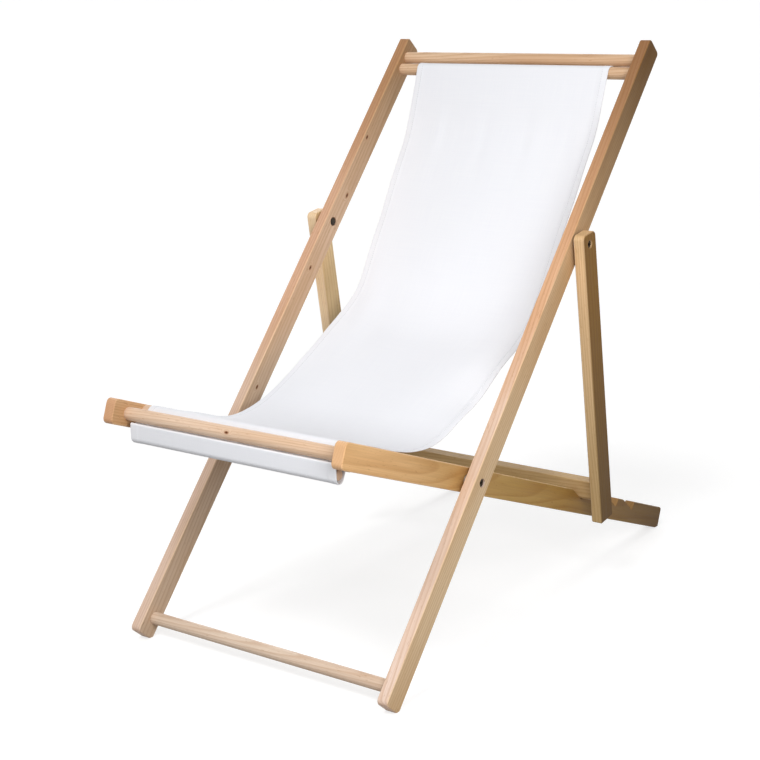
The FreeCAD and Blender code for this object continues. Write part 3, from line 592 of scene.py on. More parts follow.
    def worn_edges(self, made: Material, cloud: Socket) -> Socket:
        """Return where hands have rubbed the finish thin: on the long arrises, in patches.

        A point is on an arris where it is near the rail's side across and near its top or
        underside in depth, so the two nearnesses are multiplied.

        Args:
            made: The material.
            cloud: The slow noise.

        Returns:
            The share of rubbed wood, from 0 to 1.
        """
        share = made.add("MapRange", self.RUBBED_SHARE, {0: cloud})
        for axis, half in ((0, self.stock.half_thickness), (2, self.stock.half_depth)):
            part = made.add("SeparateXYZ", links={0: made.place}, output=axis)
            size = made.add("Math", {"operation": "ABSOLUTE"}, {0: part})
            ends = {FROM_LOW: half - self.WORN_EDGE, FROM_HIGH: half - self.ARRIS}
            near = made.add("MapRange", ends, {0: size})
            share = made.add("Math", {"operation": "MULTIPLY"}, {0: share, 1: near})
        return share


class Metal(Enum):
    """The metals of the fittings: name, colour, roughness and how strongly it is brushed."""

    TURNED_ALUMINIUM = ("turned_aluminium", "#C9CACB", 0.38, 0.20)
    BRIGHT_STEEL = ("bright_steel_brad", "#A3A19B", 0.42, 0.10)
    BROWNED_STEEL = ("browned_steel", "#4E453B", 0.48, 0.10)


@dataclass(frozen=True)
class Fitting:
    """A small metal fitting: fine turning marks round its axis and a duller, patchy plating."""

    metal: Metal

    MARKS = (1400.0, 40.0, 40.0)  # turning marks 0.7 mm apart, drawn coarser than the real 0.1 mm
    PATCHES = 160.0
    DULL_AT = 0.35
    BRIGHT_AT = 0.65
    DULL = 0.72
    SMOOTHER = 0.08
    ROUGHER = 0.14

    def build(self) -> bpy.types.Material:
        """Make the material.

        Returns:
            The finished metal, which reads Object coordinates.
        """
        name, colour, roughness, brushed = self.metal.value
        made = Material(name)
        patches = made.add("TexNoise", {"Scale": self.PATCHES, "Detail": 3.0}, {"Vector": made.place})
        plating = linear(colour)
        stops = ((self.DULL_AT, times(plating, grey(self.DULL))), (self.BRIGHT_AT, plating))
        made.feed("Base Color", made.add("ValToRGB", {"stops": stops}, {0: patches}))
        spread = {TO_LOW: roughness - self.SMOOTHER, TO_HIGH: roughness + self.ROUGHER}
        made.feed("Roughness", made.add("MapRange", spread, {0: patches}))
        marks = made.add("Mapping", {"Scale": self.MARKS}, {0: made.place})
        lines = made.add("TexNoise", {"Scale": 1.0, "Detail": 1.0}, {"Vector": marks})
        bump = made.add("Bump", {"Strength": brushed, "Distance": 0.0002}, {"Height": lines})
        made.feed("Normal", bump)
        made.set(Metallic=1.0)
        return made.material


@dataclass(frozen=True)
class CottonCanvas:
    """Plain woven cotton duck, bleached: matt white, a close over-and-under weave with thicker slubs.

    It reads the cloth's own UV map, in metres across and along the sling.
    """

    white: str = "#F1F2F6"
    shade: str = "#EFF0F5"
    thread: float = 0.0014  # real threads are 0.5 mm apart, drawn nearly three times as coarse

    SLUB_SCALES = ((12.0, 520.0, 1.0), (520.0, 12.0, 1.0))
    SLUB_SPREAD = {FROM_LOW: 0.75, FROM_HIGH: 1.25}  # most of the two noises' sum lies between these
    # Painted shade: the colour is a little darker where the weave dips.
    VALLEY_SHADE = {FROM_LOW: -1.0, TO_LOW: 0.990}
    CREASE_SCALE = (9.0, 9.0, 1.0)

    def build(self) -> bpy.types.Material:
        """Make the material.

        Returns:
            The finished canvas.
        """
        made = Material("cotton_canvas")
        cloth = made.add("UVMap", {"uv_map": SLING_UV})
        turns, slubs = [], []
        for axis, scale in enumerate(self.SLUB_SCALES):
            part = made.add("SeparateXYZ", links={0: cloth}, output=axis)
            angle = made.add("Math", {"operation": "MULTIPLY", 1: math.pi / self.thread}, {0: part})
            turns.append(made.add("Math", {"operation": "SINE"}, {0: angle}))
            stretched = made.add("Mapping", {"Scale": scale}, {0: cloth})
            slubs.append(made.add("TexNoise", {"Scale": 1.0, "Detail": 1.5}, {"Vector": stretched}))
        weave = made.add("Math", {"operation": "MULTIPLY"}, dict(enumerate(turns)))
        slub = made.add("Math", {"operation": "ADD"}, dict(enumerate(slubs)))

        share = made.add("MapRange", self.SLUB_SPREAD, {0: slub})
        tones = {FIRST: linear(self.shade), SECOND: linear(self.white)}
        mottled = made.add("Mix", COVER | tones, {SHARE: share}, MIXED)
        # Painted shade in the hollows of the weave.
        valley_shade = made.add("MapRange", self.VALLEY_SHADE, {0: weave})
        woven = made.add("VectorMath", {"operation": "SCALE"}, {0: mottled, "Scale": valley_shade})
        made.feed("Base Color", woven)

        height = made.add("Math", {"operation": "MULTIPLY_ADD", 1: 0.5}, {0: weave, 2: slub})
        bump = made.add("Bump", {"Strength": 0.08, "Distance": 0.0004}, {"Height": height})
        soft = made.add("Mapping", {"Scale": self.CREASE_SCALE}, {0: cloth})
        settings = {"Scale": 1.0, "Detail": 3.0, "Roughness": 0.5}
        crease = made.add("TexNoise", settings, {"Vector": soft})
        relief = {"Height": crease, "Normal": bump}
        creased = made.add("Bump", {"Strength": 0.16, "Distance": 0.004}, relief)
        made.feed("Normal", creased)
        made.set(Roughness=0.92, Specular_IOR_Level=0.2, Sheen_Weight=0.12, Sheen_Roughness=0.5)
        return made.material


@dataclass(frozen=True)
class SewingThread:
    """Twisted white polyester thread: a little greyer and glossier than the cloth."""

    white: str = "#DDDEE2"

    TWIST = 900.0
    VALLEY_AT = 0.35
    CREST_AT = 0.6
    # Painted shade: the thread is darker in the hollows of its twist.
    VALLEY_SHADE = 0.82

    def build(self) -> bpy.types.Material:
        """Make the material.

        Returns:
            The finished thread, which reads Object coordinates.
        """
        made = Material("sewing_thread")
        twist = made.add("TexNoise", {"Scale": self.TWIST, "Detail": 1.0}, {"Vector": made.place})
        white = linear(self.white)
        # Painted shade in the twist's hollows.
        stops = ((self.VALLEY_AT, times(white, grey(self.VALLEY_SHADE))), (self.CREST_AT, white))
        made.feed("Base Color", made.add("ValToRGB", {"stops": stops}, {0: twist}))
        bump = made.add("Bump", {"Strength": 0.3, "Distance": 0.0002}, {"Height": twist})
        made.feed("Normal", bump)
        made.set(Roughness=0.6, Sheen_Weight=0.2)
        return made.material


@dataclass(frozen=True)
class Stations:
    """Places along the canvas's middle line, one row each, in the plane of Y and Z."""

    place: np.ndarray
    heading: np.ndarray
    distance: np.ndarray

    def outward(self) -> np.ndarray:
        """Return the unit normals on the sitter's side, which is on the right of the heading."""
        return np.stack([np.sin(self.heading), -np.cos(self.heading)], axis=1)


@dataclass(frozen=True)
class CanvasLine:
    """The canvas's middle line: straight runs between corners, each rounded by its own radius."""

    corners: tuple[tuple[float, float, float], ...]

    TURN_STEP = math.radians(9.0)

    def stations(self, longest: float) -> Stations:
        """Walk the line with steps no longer than `longest`, and finer in tight bends.

        A corner of radius r where the line turns by t keeps its run r tan(t / 2) on each side
        for an arc. The place on the arc after turning by a is its centre plus r times the unit
        vector square to the heading there.

        Args:
            longest: Longest step in metres.

        Returns:
            The stations from the top pocket's end to the front pocket's end.
        """
        points = np.array([corner[:2] for corner in self.corners])
        radii = np.array([corner[2] for corner in self.corners])
        steps = np.diff(points, axis=0)
        headings = np.arctan2(steps[:, 1], steps[:, 0])
        turns = np.concatenate([[0.0], (np.diff(headings) + math.pi) % (2 * math.pi) - math.pi, [0.0]])
        runs = radii * np.tan(np.abs(turns) / 2)
        places, courses, distances = [points[:1]], [headings[:1]], [np.zeros(1)]
        travelled = 0.0
        for number, heading in enumerate(headings):
            ahead = np.array([math.cos(heading), math.sin(heading)])
            start = points[number] + ahead * runs[number]
            length = float(np.linalg.norm(steps[number])) - runs[number] - runs[number + 1]
            if length > TINY:
                count = math.ceil(length / longest)
                along = np.linspace(0.0, length, count + 1)[1:]
                places.append(start + along[:, None] * ahead)
                courses.append(np.full(count, heading))
                distances.append(travelled + along)
                travelled += length
            radius, turn = radii[number + 1], turns[number + 1]
            if radius > 0:
                count = max(1, math.ceil(max(abs(turn) / self.TURN_STEP, radius * abs(turn) / longest)))
                angle = np.linspace(0.0, turn, count + 1)[1:]
                side = math.copysign(1.0, turn)
                begin = points[number + 1] - ahead * runs[number + 1]
                centre = begin + side * radius * np.array([-ahead[1], ahead[0]])
                course = heading + angle
                outward = np.stack([np.sin(course), -np.cos(course)], axis=1)
                places.append(centre + side * radius * outward)
                courses.append(course)
                distances.append(travelled + radius * np.abs(angle))
                travelled += radius * abs(turn)
        return Stations(np.concatenate(places), np.concatenate(courses), np.concatenate(distances))


# Corners of the canvas's middle line in the plane of Y and Z, with the radius of each.
CANVAS_ROUTE = CanvasLine(
    (
        # Seam of the top pocket, then round the rod in it.
        (0.362175, 0.905016, 0.0),
        (0.364849, 0.908796, 0.00905),
        (0.374111, 0.908881, 0.00905),
        (0.379597, 0.901420, 0.00905),
        (0.376755, 0.892605, 0.00905),
        (0.367944, 0.889753, 0.00905),
        (0.360476, 0.895231, 0.00905),
        # Between the two top bars and over the lower one.
        (0.360562, 0.906031, 0.01205),
        (0.350609, 0.913325, 0.01205),
        (0.338873, 0.909513, 0.01205),
        # Down the back, round the bend and along the seat.
        (0.303263, 0.798458, 0.260),
        (0.093075, 0.480924, 0.220),
        (-0.232025, 0.342124, 0.200),
        # Over the sling bar.
        (-0.442807, 0.420779, 0.01205),
        (-0.451205, 0.417673, 0.01205),
        # Round the rod in the front pocket, and up to its seam.
        (-0.476400, 0.370600, 0.00905),
        (-0.485600, 0.368400, 0.00905),
        (-0.492200, 0.375800, 0.00905),
        (-0.491600, 0.404300, 0.0020),
        (-0.485500, 0.400700, 0.0025),
        (-0.462103, 0.401680, 0.0015),
        (-0.457749, 0.409557, 0.0),
    )
)


@dataclass
class Sling:
    """The canvas sling: one hemmed cloth with a sewn pocket at each end, and its stitching."""

    width: float = 0.416
    waist: float = 0.394
    waist_at: float = 0.0931
    front_at: float = -0.4959
    top_at: float = 0.3846
    half_thickness: float = 0.0005
    hem_half_thickness: float = 0.00085
    hem_width: float = 0.0140
    hem_stitch: float = 0.0115
    hem_end: float = 0.019
    step: float = 0.006
    fine_step: float = 0.001
    creep: float = 0.003
    leaves_top_bar: float = 0.100
    meets_sling_bar: float = 1.150
    hang_from: Point = (0.0, 0.300, 0.800)
    hang_to: Point = (0.0, -0.420, 0.400)
    line: CanvasLine = CANVAS_ROUTE

    STITCH_PITCH = 0.0042
    STITCH_LENGTH = 0.0034
    STITCH_RADIUS = 0.00042
    STITCH_SEAT = 0.86  # height of a stitch's middle over half the hem's thickness
    STITCH_BEYOND = 0.02
    STITCH_SIDES = 6
    SPINDLE_PLACES = (-0.5, -0.22, 0.22, 0.5)
    SPINDLE_RADII = (0.35, 1.0, 1.0, 0.35)

    # Columns near an edge: how many on its rounded fold, then places from the edge or the stitches,
    # each with its thickness over the hem's.
    FOLD_COLUMNS = 4
    HEM_COLUMNS = ((0.003, 1.0), (0.006, 1.03), (0.0085, 1.0))
    STITCH_COLUMNS = ((-0.0012, 0.93), (0.0, 0.80), (0.0012, 0.92))
    HEM_LAST = (-0.0002, 0.96)
    HEM_FALL = 0.0007

    # Where the cloth creeps sideways, as distances along it from nothing to fully.
    CREEP_GROWS = (0.06, 0.20)
    CREEP_FADES = (0.95, 1.12)

    # The cloth's unevenness. Depths are in metres. Places are shares of the hanging length from the
    # top bar to the sling bar, each with its reach, and places across go from -1, left, to 1, right.
    FADE = 0.10
    BELLY = 0.0055
    GATHER = 0.0004
    GATHER_WAVES = ((17, 1.0, 0.6), (29, 0.7, 2.1), (43, 0.5, 4.0))  # pitch across, height and phase
    GATHER_TOP_AT = (0.10, 0.10)
    GATHER_FRONT_AT = (0.90, 0.09)
    GATHER_FRONT = 0.8
    DRAG = 0.0018
    DRAGS = ((-0.80, -0.9, 0.42, 0.10), (0.78, 0.8, 0.45, 0.11))  # place, slant, level and reach
    DRAG_AT = (0.45, 0.17)
    SWAY = 0.0012
    SWAY_WAVE = (5.2, 7.5, 0.4)  # pitch across, pitch along and phase
    FLUTTER = 0.0011
    FLUTTER_WAVE = (46, 1.3)  # pitch along and phase of each side
    FLUTTER_POWER = 10  # how close to the edge it stays
    SLACK_EDGE = 0.0075
    SLACK_FROM = 0.3
    SLACK_AT = (0.64, 0.065)
    CURLED_EDGE = 0.0100
    CURLED_FROM = 0.5
    CURLED_AT = (0.51, 0.075)

    def half_width(self, along_y: np.ndarray) -> np.ndarray:
        """Return half the cloth's width at places along Y.

        In plan each edge is one arc through the width at the front, the waist and the top, so
        half the width is that at the ends less (h^2 - d^2) / 2r, with h half the arc's chord,
        d the distance from its middle and r its radius.

        Args:
            along_y: Places along Y.

        Returns:
            Half the width at each.
        """
        middle = (self.front_at + self.top_at) / 2
        half_chord = (self.top_at - self.front_at) / 2
        drawn_in = (self.width - self.waist) / 2
        twice_radius = (half_chord**2 - (self.waist_at - middle) ** 2) / drawn_in
        return self.width / 2 - (half_chord**2 - (along_y - middle) ** 2) / twice_radius

    def rumple(self, distance: np.ndarray, across: np.ndarray) -> np.ndarray:
        """Return how far the hanging cloth departs from its middle surface, on the sitter's side.

        It is a belly, gathers at both bars, slanting drag folds at the waist, a slow sway, a
        fluttering edge, a slack right edge and a curled left one, all added up.

        Args:
            distance: Distance along the cloth, one column.
            across: Place across the cloth from -1 to 1, one row.

        Returns:
            The departure in metres, nothing where the cloth lies on its bars.
        """
        hanging = self.meets_sling_bar - self.leaves_top_bar
        share = np.clip((distance - self.leaves_top_bar) / hanging, 0.0, 1.0)
        free = smooth_step(0.0, self.FADE, share) * (1 - smooth_step(1 - self.FADE, 1.0, share))
        arch = np.sin(math.pi * share)
        belly = -self.BELLY * (1 - across**2) * arch
        waves = sum(
            height * np.sin(pitch * across + phase) for pitch, height, phase in self.GATHER_WAVES
        )
        at_front = self.GATHER_FRONT * swell(share, *self.GATHER_FRONT_AT)
        gathers = self.GATHER * waves * (swell(share, *self.GATHER_TOP_AT) + at_front)
        folds = sum(
            swell(across + slant * (share - level), place, reach)
            for place, slant, level, reach in self.DRAGS
        )
        drags = self.DRAG * folds * swell(share, *self.DRAG_AT)
        pitch_across, pitch_along, phase = self.SWAY_WAVE
        sway = self.SWAY * np.sin(pitch_across * across + pitch_along * share + phase) * arch
        pitch, phase = self.FLUTTER_WAVE
        near_edge = np.abs(across) ** self.FLUTTER_POWER
        flutter = self.FLUTTER * near_edge * np.sin(pitch * share + phase * np.sign(across))
        right = smooth_step(self.SLACK_FROM, 1.0, across)
        slack = -self.SLACK_EDGE * right * swell(share, *self.SLACK_AT)
        left = smooth_step(self.CURLED_FROM, 1.0, -across)
        curl = self.CURLED_EDGE * left * swell(share, *self.CURLED_AT)
        return free * (belly + gathers + drags + sway + flutter + slack + curl)

    def sideways(self, distance: np.ndarray) -> np.ndarray:
        """Return how far the hanging cloth has crept along its bars toward the left rail."""
        grown = smooth_step(*self.CREEP_GROWS, distance)
        return -self.creep * grown * (1 - smooth_step(*self.CREEP_FADES, distance))

    def edge_steps(self) -> tuple[np.ndarray, np.ndarray]:
        """Return the columns near one edge.

        The folded edge is half round: half the thickness at a distance e inside it is
        h sqrt(1 - (1 - e / h)^2). It dips at the stitches and steps down where the hem ends.

        Returns:
            The distances of the columns from the edge, and half the thickness at each.
        """
        full = self.hem_half_thickness
        turns = np.linspace(0.0, math.pi / 2, self.FOLD_COLUMNS)
        before_end, last = self.HEM_LAST
        flat = [(place, full * share) for place, share in self.HEM_COLUMNS]
        flat += [(self.hem_stitch + place, full * share) for place, share in self.STITCH_COLUMNS]
        flat += [
            (self.hem_width + before_end, full * last),
            (self.hem_width + self.HEM_FALL, self.half_thickness),
            (self.hem_end, self.half_thickness),
        ]
        inner, thickness = np.array(flat).T
        rounded = full * (1 - np.cos(turns))
        return np.concatenate([rounded, inner]), np.concatenate([full * np.sin(turns), thickness])

    def columns(self, half: np.ndarray) -> tuple[np.ndarray, np.ndarray]:
        """Return the places across the cloth for each station, and half the thickness of each column.

        Args:
            half: Half the cloth's width at each station.

        Returns:
            Places across (stations by columns) and half thicknesses.
        """
        edge, edge_thickness = self.edge_steps()
        between = math.ceil((self.width - 2 * edge[-1]) / self.step)
        inside = half[:, None] - edge[-1]
        middle = inside * np.linspace(-1.0, 1.0, between + 1)[None, 1:-1]
        left = -half[:, None] + edge[None, :]
        right = half[:, None] - edge[None, ::-1]
        flat = np.full(between - 1, self.half_thickness)
        thickness = np.concatenate([edge_thickness, flat, edge_thickness[::-1]])
        return np.concatenate([left, middle, right], axis=1), thickness

    def surface(self, stations: Stations, across: np.ndarray, lift: np.ndarray | float) -> np.ndarray:
        """Return places on the cloth, `lift` above its rumpled middle on the sitter's side.

        Each place is the station's place, plus its outward normal times the rumple and the
        lift, with the place across and the creep as X.

        Args:
            stations: Stations along the middle line.
            across: Places across, stations by columns.
            lift: Height above the rumpled middle.

        Returns:
            The places, stations by columns by three.
        """
        half = self.half_width(stations.place[:, 0])
        departure = self.rumple(stations.distance[:, None], across / half[:, None]) + lift
        normal = stations.outward()
        along_y = stations.place[:, :1] + normal[:, :1] * departure
        height = stations.place[:, 1:] + normal[:, 1:] * departure
        return np.stack([across + self.sideways(stations.distance[:, None]), along_y, height], axis=2)

    def build(self) -> bpy.types.Object:
        """Make the cloth as one closed skin: the sitter's side, then back along the underside.

        Returns:
            The sling's object with its cloth UV map.
        """
        stations = self.line.stations(self.step)
        across, thickness = self.columns(self.half_width(stations.place[:, 0]))
        upper = self.surface(stations, across, thickness[None, :])
        under = self.surface(stations, across, -thickness[None, :])
        ring = np.concatenate([upper, under[:, -2:0:-1]], axis=1)
        rows, size = ring.shape[:2]
        numbers = np.arange(rows * size).reshape(rows, size)
        following = np.roll(numbers, -1, axis=1)
        skin = np.stack([numbers[:-1], numbers[1:], following[1:], following[:-1]], axis=-1)
        near = np.arange(across.shape[1] - 1)
        ends = (near, near + 1, size - near - 1, (size - near) % size)
        first = np.stack([numbers[0, place] for place in ends], axis=1)
        last = np.stack([numbers[-1, place] for place in (ends[0], *ends[:0:-1])], axis=1)
        fours = np.concatenate([skin.reshape(-1, 4), first, last]).tolist()
        faces = [tuple(dict.fromkeys(face)) for face in fours]
        piece = new_piece("canvas_sling", ring.reshape(-1, 3), faces)
        across_ring = np.concatenate([across, across[:, -2:0:-1]], axis=1)
        distance = np.broadcast_to(stations.distance[:, None], across_ring.shape)
        self.lay_uv(piece, np.stack([across_ring.ravel(), distance.ravel()], axis=1))
        return piece

    def lay_uv(self, piece: bpy.types.Object, flat: np.ndarray) -> None:
        """Give each corner the flat place of its vertex.

        Args:
            piece: The cloth.
            flat: Metres across and along the cloth, one row for each vertex.
        """
        mesh = piece.data
        layer = mesh.uv_layers.new(name=SLING_UV)
        corners = np.zeros(len(mesh.loops), dtype=np.int32)
        mesh.loops.foreach_get("vertex_index", corners)
        layer.data.foreach_set("uv", flat[corners].astype(np.float32).ravel())

    def stitches(self, places: np.ndarray, ahead: np.ndarray, lifted: np.ndarray) -> bpy.types.Object:
        """Make the stitches as one mesh of small six-sided spindles.

        A spindle's corner is its middle, plus the way ahead times its place along, plus the
        two directions square to it times its radius and the cosine and sine of the corner's angle.

        Args:
            places: Middle of each stitch.
            ahead: Unit direction of each stitch.
            lifted: Unit direction away from the cloth at each stitch.

        Returns:
            The stitching's object.
        """
        sides = self.STITCH_SIDES
        along = np.array(self.SPINDLE_PLACES) * self.STITCH_LENGTH
        radius = np.array(self.SPINDLE_RADII) * self.STITCH_RADIUS
        angle = np.arange(sides) * 2 * math.pi / sides
        middle = places[:, None, None] + along[None, :, None, None] * ahead[:, None, None]
        points = middle + radius[None, :, None, None] * (
            np.cos(angle)[None, None, :, None] * lifted[:, None, None]
            + np.sin(angle)[None, None, :, None] * np.cross(ahead, lifted)[:, None, None]
        )
        one = np.arange(len(along) * sides).reshape(len(along), sides)
        turned = np.roll(one, -1, axis=1)
        walls = np.stack([one[:-1], turned[:-1], turned[1:], one[1:]], axis=-1).reshape(-1, 4)
        caps = np.stack([one[0][::-1], one[-1]])
        offsets = np.arange(len(places))[:, None, None] * one.size
        faces = [
            face
            for kind in (walls, caps)
            for face in (kind + offsets).reshape(-1, kind.shape[1]).tolist()
        ]
        return new_piece("side_hem_stitching", points.reshape(-1, 3), faces)

    def side_stitching(self) -> bpy.types.Object:
        """Make the stitch row along both side hems, on both faces of the cloth.

        Returns:
            The stitching's object.
        """
        start = self.leaves_top_bar - self.STITCH_BEYOND
        end = self.meets_sling_bar + self.STITCH_BEYOND
        count = int((end - start) / self.STITCH_PITCH)
        stations = self.at(start + (np.arange(count) + 0.5) * self.STITCH_PITCH)
        half = self.half_width(stations.place[:, 0])
        across = np.stack([-half + self.hem_stitch, half - self.hem_stitch], axis=1)
        lift = self.hem_half_thickness * self.STITCH_SEAT
        outward = np.concatenate([np.zeros((count, 1)), stations.outward()], axis=1)
        places, aheads, lifted = [], [], []
        for side in (1.0, -1.0):
            row = self.surface(stations, across, side * lift)
            ahead = np.gradient(row, axis=0)
            ahead /= np.linalg.norm(ahead, axis=2, keepdims=True)
            for edge in (0, 1):
                places.append(row[:, edge])
                aheads.append(ahead[:, edge])
                lifted.append(side * outward)
        return self.stitches(*(np.concatenate(part) for part in (places, aheads, lifted)))

    def at(self, distances: np.ndarray) -> Stations:
        """Return stations between those of a fine walk along the line.

        Args:
            distances: Distances along the line.

        Returns:
            The stations there.
        """
        fine = self.line.stations(self.fine_step)
        place = np.stack([np.interp(distances, fine.distance, line) for line in fine.place.T], axis=1)
        heading = np.interp(distances, fine.distance, np.unwrap(fine.heading))
        return Stations(place, heading, distances)

    def dress(self, cloth: bpy.types.Material, thread: bpy.types.Material) -> None:
        """Make the sling and its stitching, and hang both between the long frame and the seat frame.

        Args:
            cloth: Finish of the sling.
            thread: Finish of the stitching.
        """
        sling = self.build()
        stitching = self.side_stitching()
        for piece, finish in ((sling, cloth), (stitching, thread)):
            piece.data.materials.append(finish)
            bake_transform(piece)
            report(piece)
        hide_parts("sling")
        length = float(self.line.stations(self.step).distance[-1])


@dataclass
class WoodenFrames:
    """The three beech frames, whose pieces get their own boards of beech."""

    long_rail_middle: float = 0.259
    seat_rail_middle: float = 0.230
    prop_middle: float = 0.284
    rail_half_thickness: float = 0.010
    rail_half_depth: float = 0.021
    front_bar_knot: Point = (-0.0023, -0.4921, 0.4190)
    front_bar_knot_radius: float = 0.0015
    first_bar_seed: int = 7

    def rail(self, pivot: Point, across: float, slope: float) -> Stock:
        """Return the stock of a rail through a pivot.

        Args:
            pivot: The pivot on the middle plane of the chair.
            across: The rail's place across, from that plane.
            slope: Angle of the rail above level.

        Returns:
            The stock, whose own axes start at the pivot.
        """
        return Stock(
            middle=(across, pivot[1], pivot[2]),
            along=(0.0, math.cos(slope), math.sin(slope)),
            upper=(0.0, -math.sin(slope), math.cos(slope)),
            half_thickness=self.rail_half_thickness,
            half_depth=self.rail_half_depth,
        )

    def bar(self, node: str, slope: float) -> Stock:
        """Return the stock of a bar that runs across the chair, about the middle of its node.

        Args:
            node: The node's name.
            slope: Angle above level of the frame that holds it.

        Returns:
            The stock.
        """
        low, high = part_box(node)
        upper = (0.0, -math.sin(slope), math.cos(slope))
        return Stock(middle=tuple((low + high) / 2), along=(1.0, 0.0, 0.0), upper=upper)

    def rails(self) -> dict[str, Beech]:
        """Return the beech of each rail.

        Returns:
            The finishes by node: rosy long rails, golden seat rails and pale props, most of them
            darkened towards their upper or rear ends by painted shade, and small knots on a side toward
            the middle.
        """
        inner = self.rail_half_thickness
        # Each stretch of painted shade below darkens a rail toward one end, where less light falls.
        return {
            # Each `broad` tint is painted shade on a rail's two broad faces.
            "long_rail_left": Beech(
                self.rail(SEAT_PIVOT, -self.long_rail_middle, LONG_SLOPE),
                BeechTone.ROSY,
                seed=1.0,
                pith=(0.062, -0.030),
                tilt=(0.012, 0.020),
                broad="#FFFFF4",
                painted_shades=(
                    PaintedShade(0.10, 0.32, "#FFEBDA", broad=0.4, edge=1.0),
                    PaintedShade(0.42, 0.86, "#C4B48E", broad=0.62, edge=0.74),
                ),
                knots=(
                    Knot((inner, 0.518, -0.0047), 0.0019),
                    Knot((inner, 0.3502, 0.0052), 0.0017),
                    Knot((inner, 0.0972, 0.0029), 0.0016),
                    Knot((inner, 0.640, 0.012), 0.0016),
                ),
            ),
            "long_rail_right": Beech(
                self.rail(SEAT_PIVOT, self.long_rail_middle, LONG_SLOPE),
                BeechTone.ROSY,
                seed=2.0,
                pith=(-0.050, -0.060),
                tilt=(-0.015, 0.018),
                broad="#FFFADC",
                painted_shades=(
                    PaintedShade(0.06, 0.34, "#F5DABB", broad=0.35, edge=1.0),
                    PaintedShade(0.38, 0.88, "#887234", edge=0.66),
                ),
            ),
            "seat_rail_left": Beech(
                self.rail(SEAT_PIVOT, -self.seat_rail_middle, SEAT_SLOPE),
                BeechTone.APRICOT,
                seed=3.0,
                pith=(0.050, -0.055),
                tilt=(0.020, -0.014),
                painted_shades=(PaintedShade(-0.24, 0.44, "#8A7646"),),
            ),
            "seat_rail_right": Beech(
                self.rail(SEAT_PIVOT, self.seat_rail_middle, SEAT_SLOPE),
                BeechTone.GOLDEN,
                seed=4.0,
                pith=(-0.085, 0.020),
                tilt=(-0.010, 0.024),
                broad="#FFF8E0",
                painted_shades=(PaintedShade(-0.30, 0.16, "#CCC9A0"), PaintedShade(0.28, 0.78, "#9C9070")),
            ),
            "prop_left": Beech(
                self.rail(PROP_PIVOT, -self.prop_middle, PROP_SLOPE),
                BeechTone.CREAM,
                seed=5.0,
                pith=(0.060, 0.040),
                tilt=(0.030, 0.020),
                broad="#FFFDEE",
            ),
            "prop_right": Beech(
                self.rail(PROP_PIVOT, self.prop_middle, PROP_SLOPE),
                BeechTone.STRAW,
                seed=6.0,
                pith=(-0.070, 0.050),
                tilt=(-0.025, 0.030),
                # Painted shade: the broad faces much darker, for the light that hardly reaches them.
                broad="#A48D4C",
                painted_shades=(PaintedShade(-0.02, -0.56, "#BDBDA4"),),
            ),
        }

    def bars(self) -> dict[str, Beech]:
        """Return the beech of each bar, rod, dowel and of the stretcher.

        Returns:
            The finishes by node, each with a seed of its own.
        """
        boards = (
            ("prop_stretcher", PROP_SLOPE, BeechTone.OLIVE),
            ("stretcher_dowels", PROP_SLOPE, BeechTone.OLIVE),
            ("foot_bar", LONG_SLOPE, BeechTone.GREYED),
            ("top_bar_lower", LONG_SLOPE, BeechTone.TOP_BAR),
            ("top_bar_upper", LONG_SLOPE, BeechTone.TOP_BAR),
            ("front_bar", SEAT_SLOPE, BeechTone.ROUND_ROSY),
            ("sling_bar", SEAT_SLOPE, BeechTone.ROUND_ROSY),
            ("top_pocket_rod", LONG_SLOPE, BeechTone.ROUND_ROSY),
            ("front_pocket_rod", SEAT_SLOPE, BeechTone.ROUND_ROSY),
        )
        finishes = {}
        for seed, (node, slope, tone) in enumerate(boards, start=self.first_bar_seed):
            stock = self.bar(node, slope)
            knot = Knot(stock.own_place(self.front_bar_knot), self.front_bar_knot_radius)
            knots = (knot,) if node == "front_bar" else ()
            finishes[node] = Beech(stock, tone, float(seed), knots=knots)
        return finishes

    def dress(self) -> None:
        """Give every wooden node its own beech."""
        for node, finish in (self.rails() | self.bars()).items():
            set_finish(node, finish.build(f"beech_{node}"))


@dataclass
class Hardware:
    """The pivot bolts, nuts, spacers and washers, and the brads that lock the bars."""

    sides: tuple[str, ...] = ("left", "right")
    pivots: tuple[str, ...] = ("seat_pivot", "prop_pivot")

    def dress(self) -> None:
        """Give every metal node its finish."""
        browned = Fitting(Metal.BROWNED_STEEL).build()
        turned = Fitting(Metal.TURNED_ALUMINIUM).build()
        bright = Fitting(Metal.BRIGHT_STEEL).build()
        for side in self.sides:
            for pivot in self.pivots:
                set_finish(f"{pivot}_bolt_{side}", browned)
                set_finish(f"{pivot}_nut_{side}", browned)
            set_finish(f"seat_pivot_spacer_{side}", turned)
            set_finish(f"prop_pivot_washer_{side}", turned)
        for brads in ("long_frame_brads", "seat_frame_brads"):
            set_finish(brads, bright)


@dataclass(frozen=True)
class FarLamp:
    """A broad far lamp that shines from the direction of `source`. Its angle is in degrees."""

    name: str
    strength: float
    angle: float
    source: Point

    def build(self) -> None:
        """Make the lamp."""
        data = bpy.data.lights.new(self.name, "SUN")
        data.energy = self.strength
        data.angle = math.radians(self.angle)
        lamp = new_object(self.name, data)
        lamp.rotation_euler = Vector(self.source).to_track_quat("Z", "Y").to_euler()


@dataclass(frozen=True)
class NearLamp:
    """A square near lamp that faces the place `toward`."""

    name: str
    power: float
    size: float
    place: Point
    toward: Point

    def build(self) -> None:
        """Make the lamp."""
        data = bpy.data.lights.new(self.name, "AREA")
        data.energy = self.power
        data.size = self.size
        lamp = new_object(self.name, data)
        lamp.location = self.place
        away = Vector(self.place) - Vector(self.toward)
        lamp.rotation_euler = away.to_track_quat("Z", "Y").to_euler()


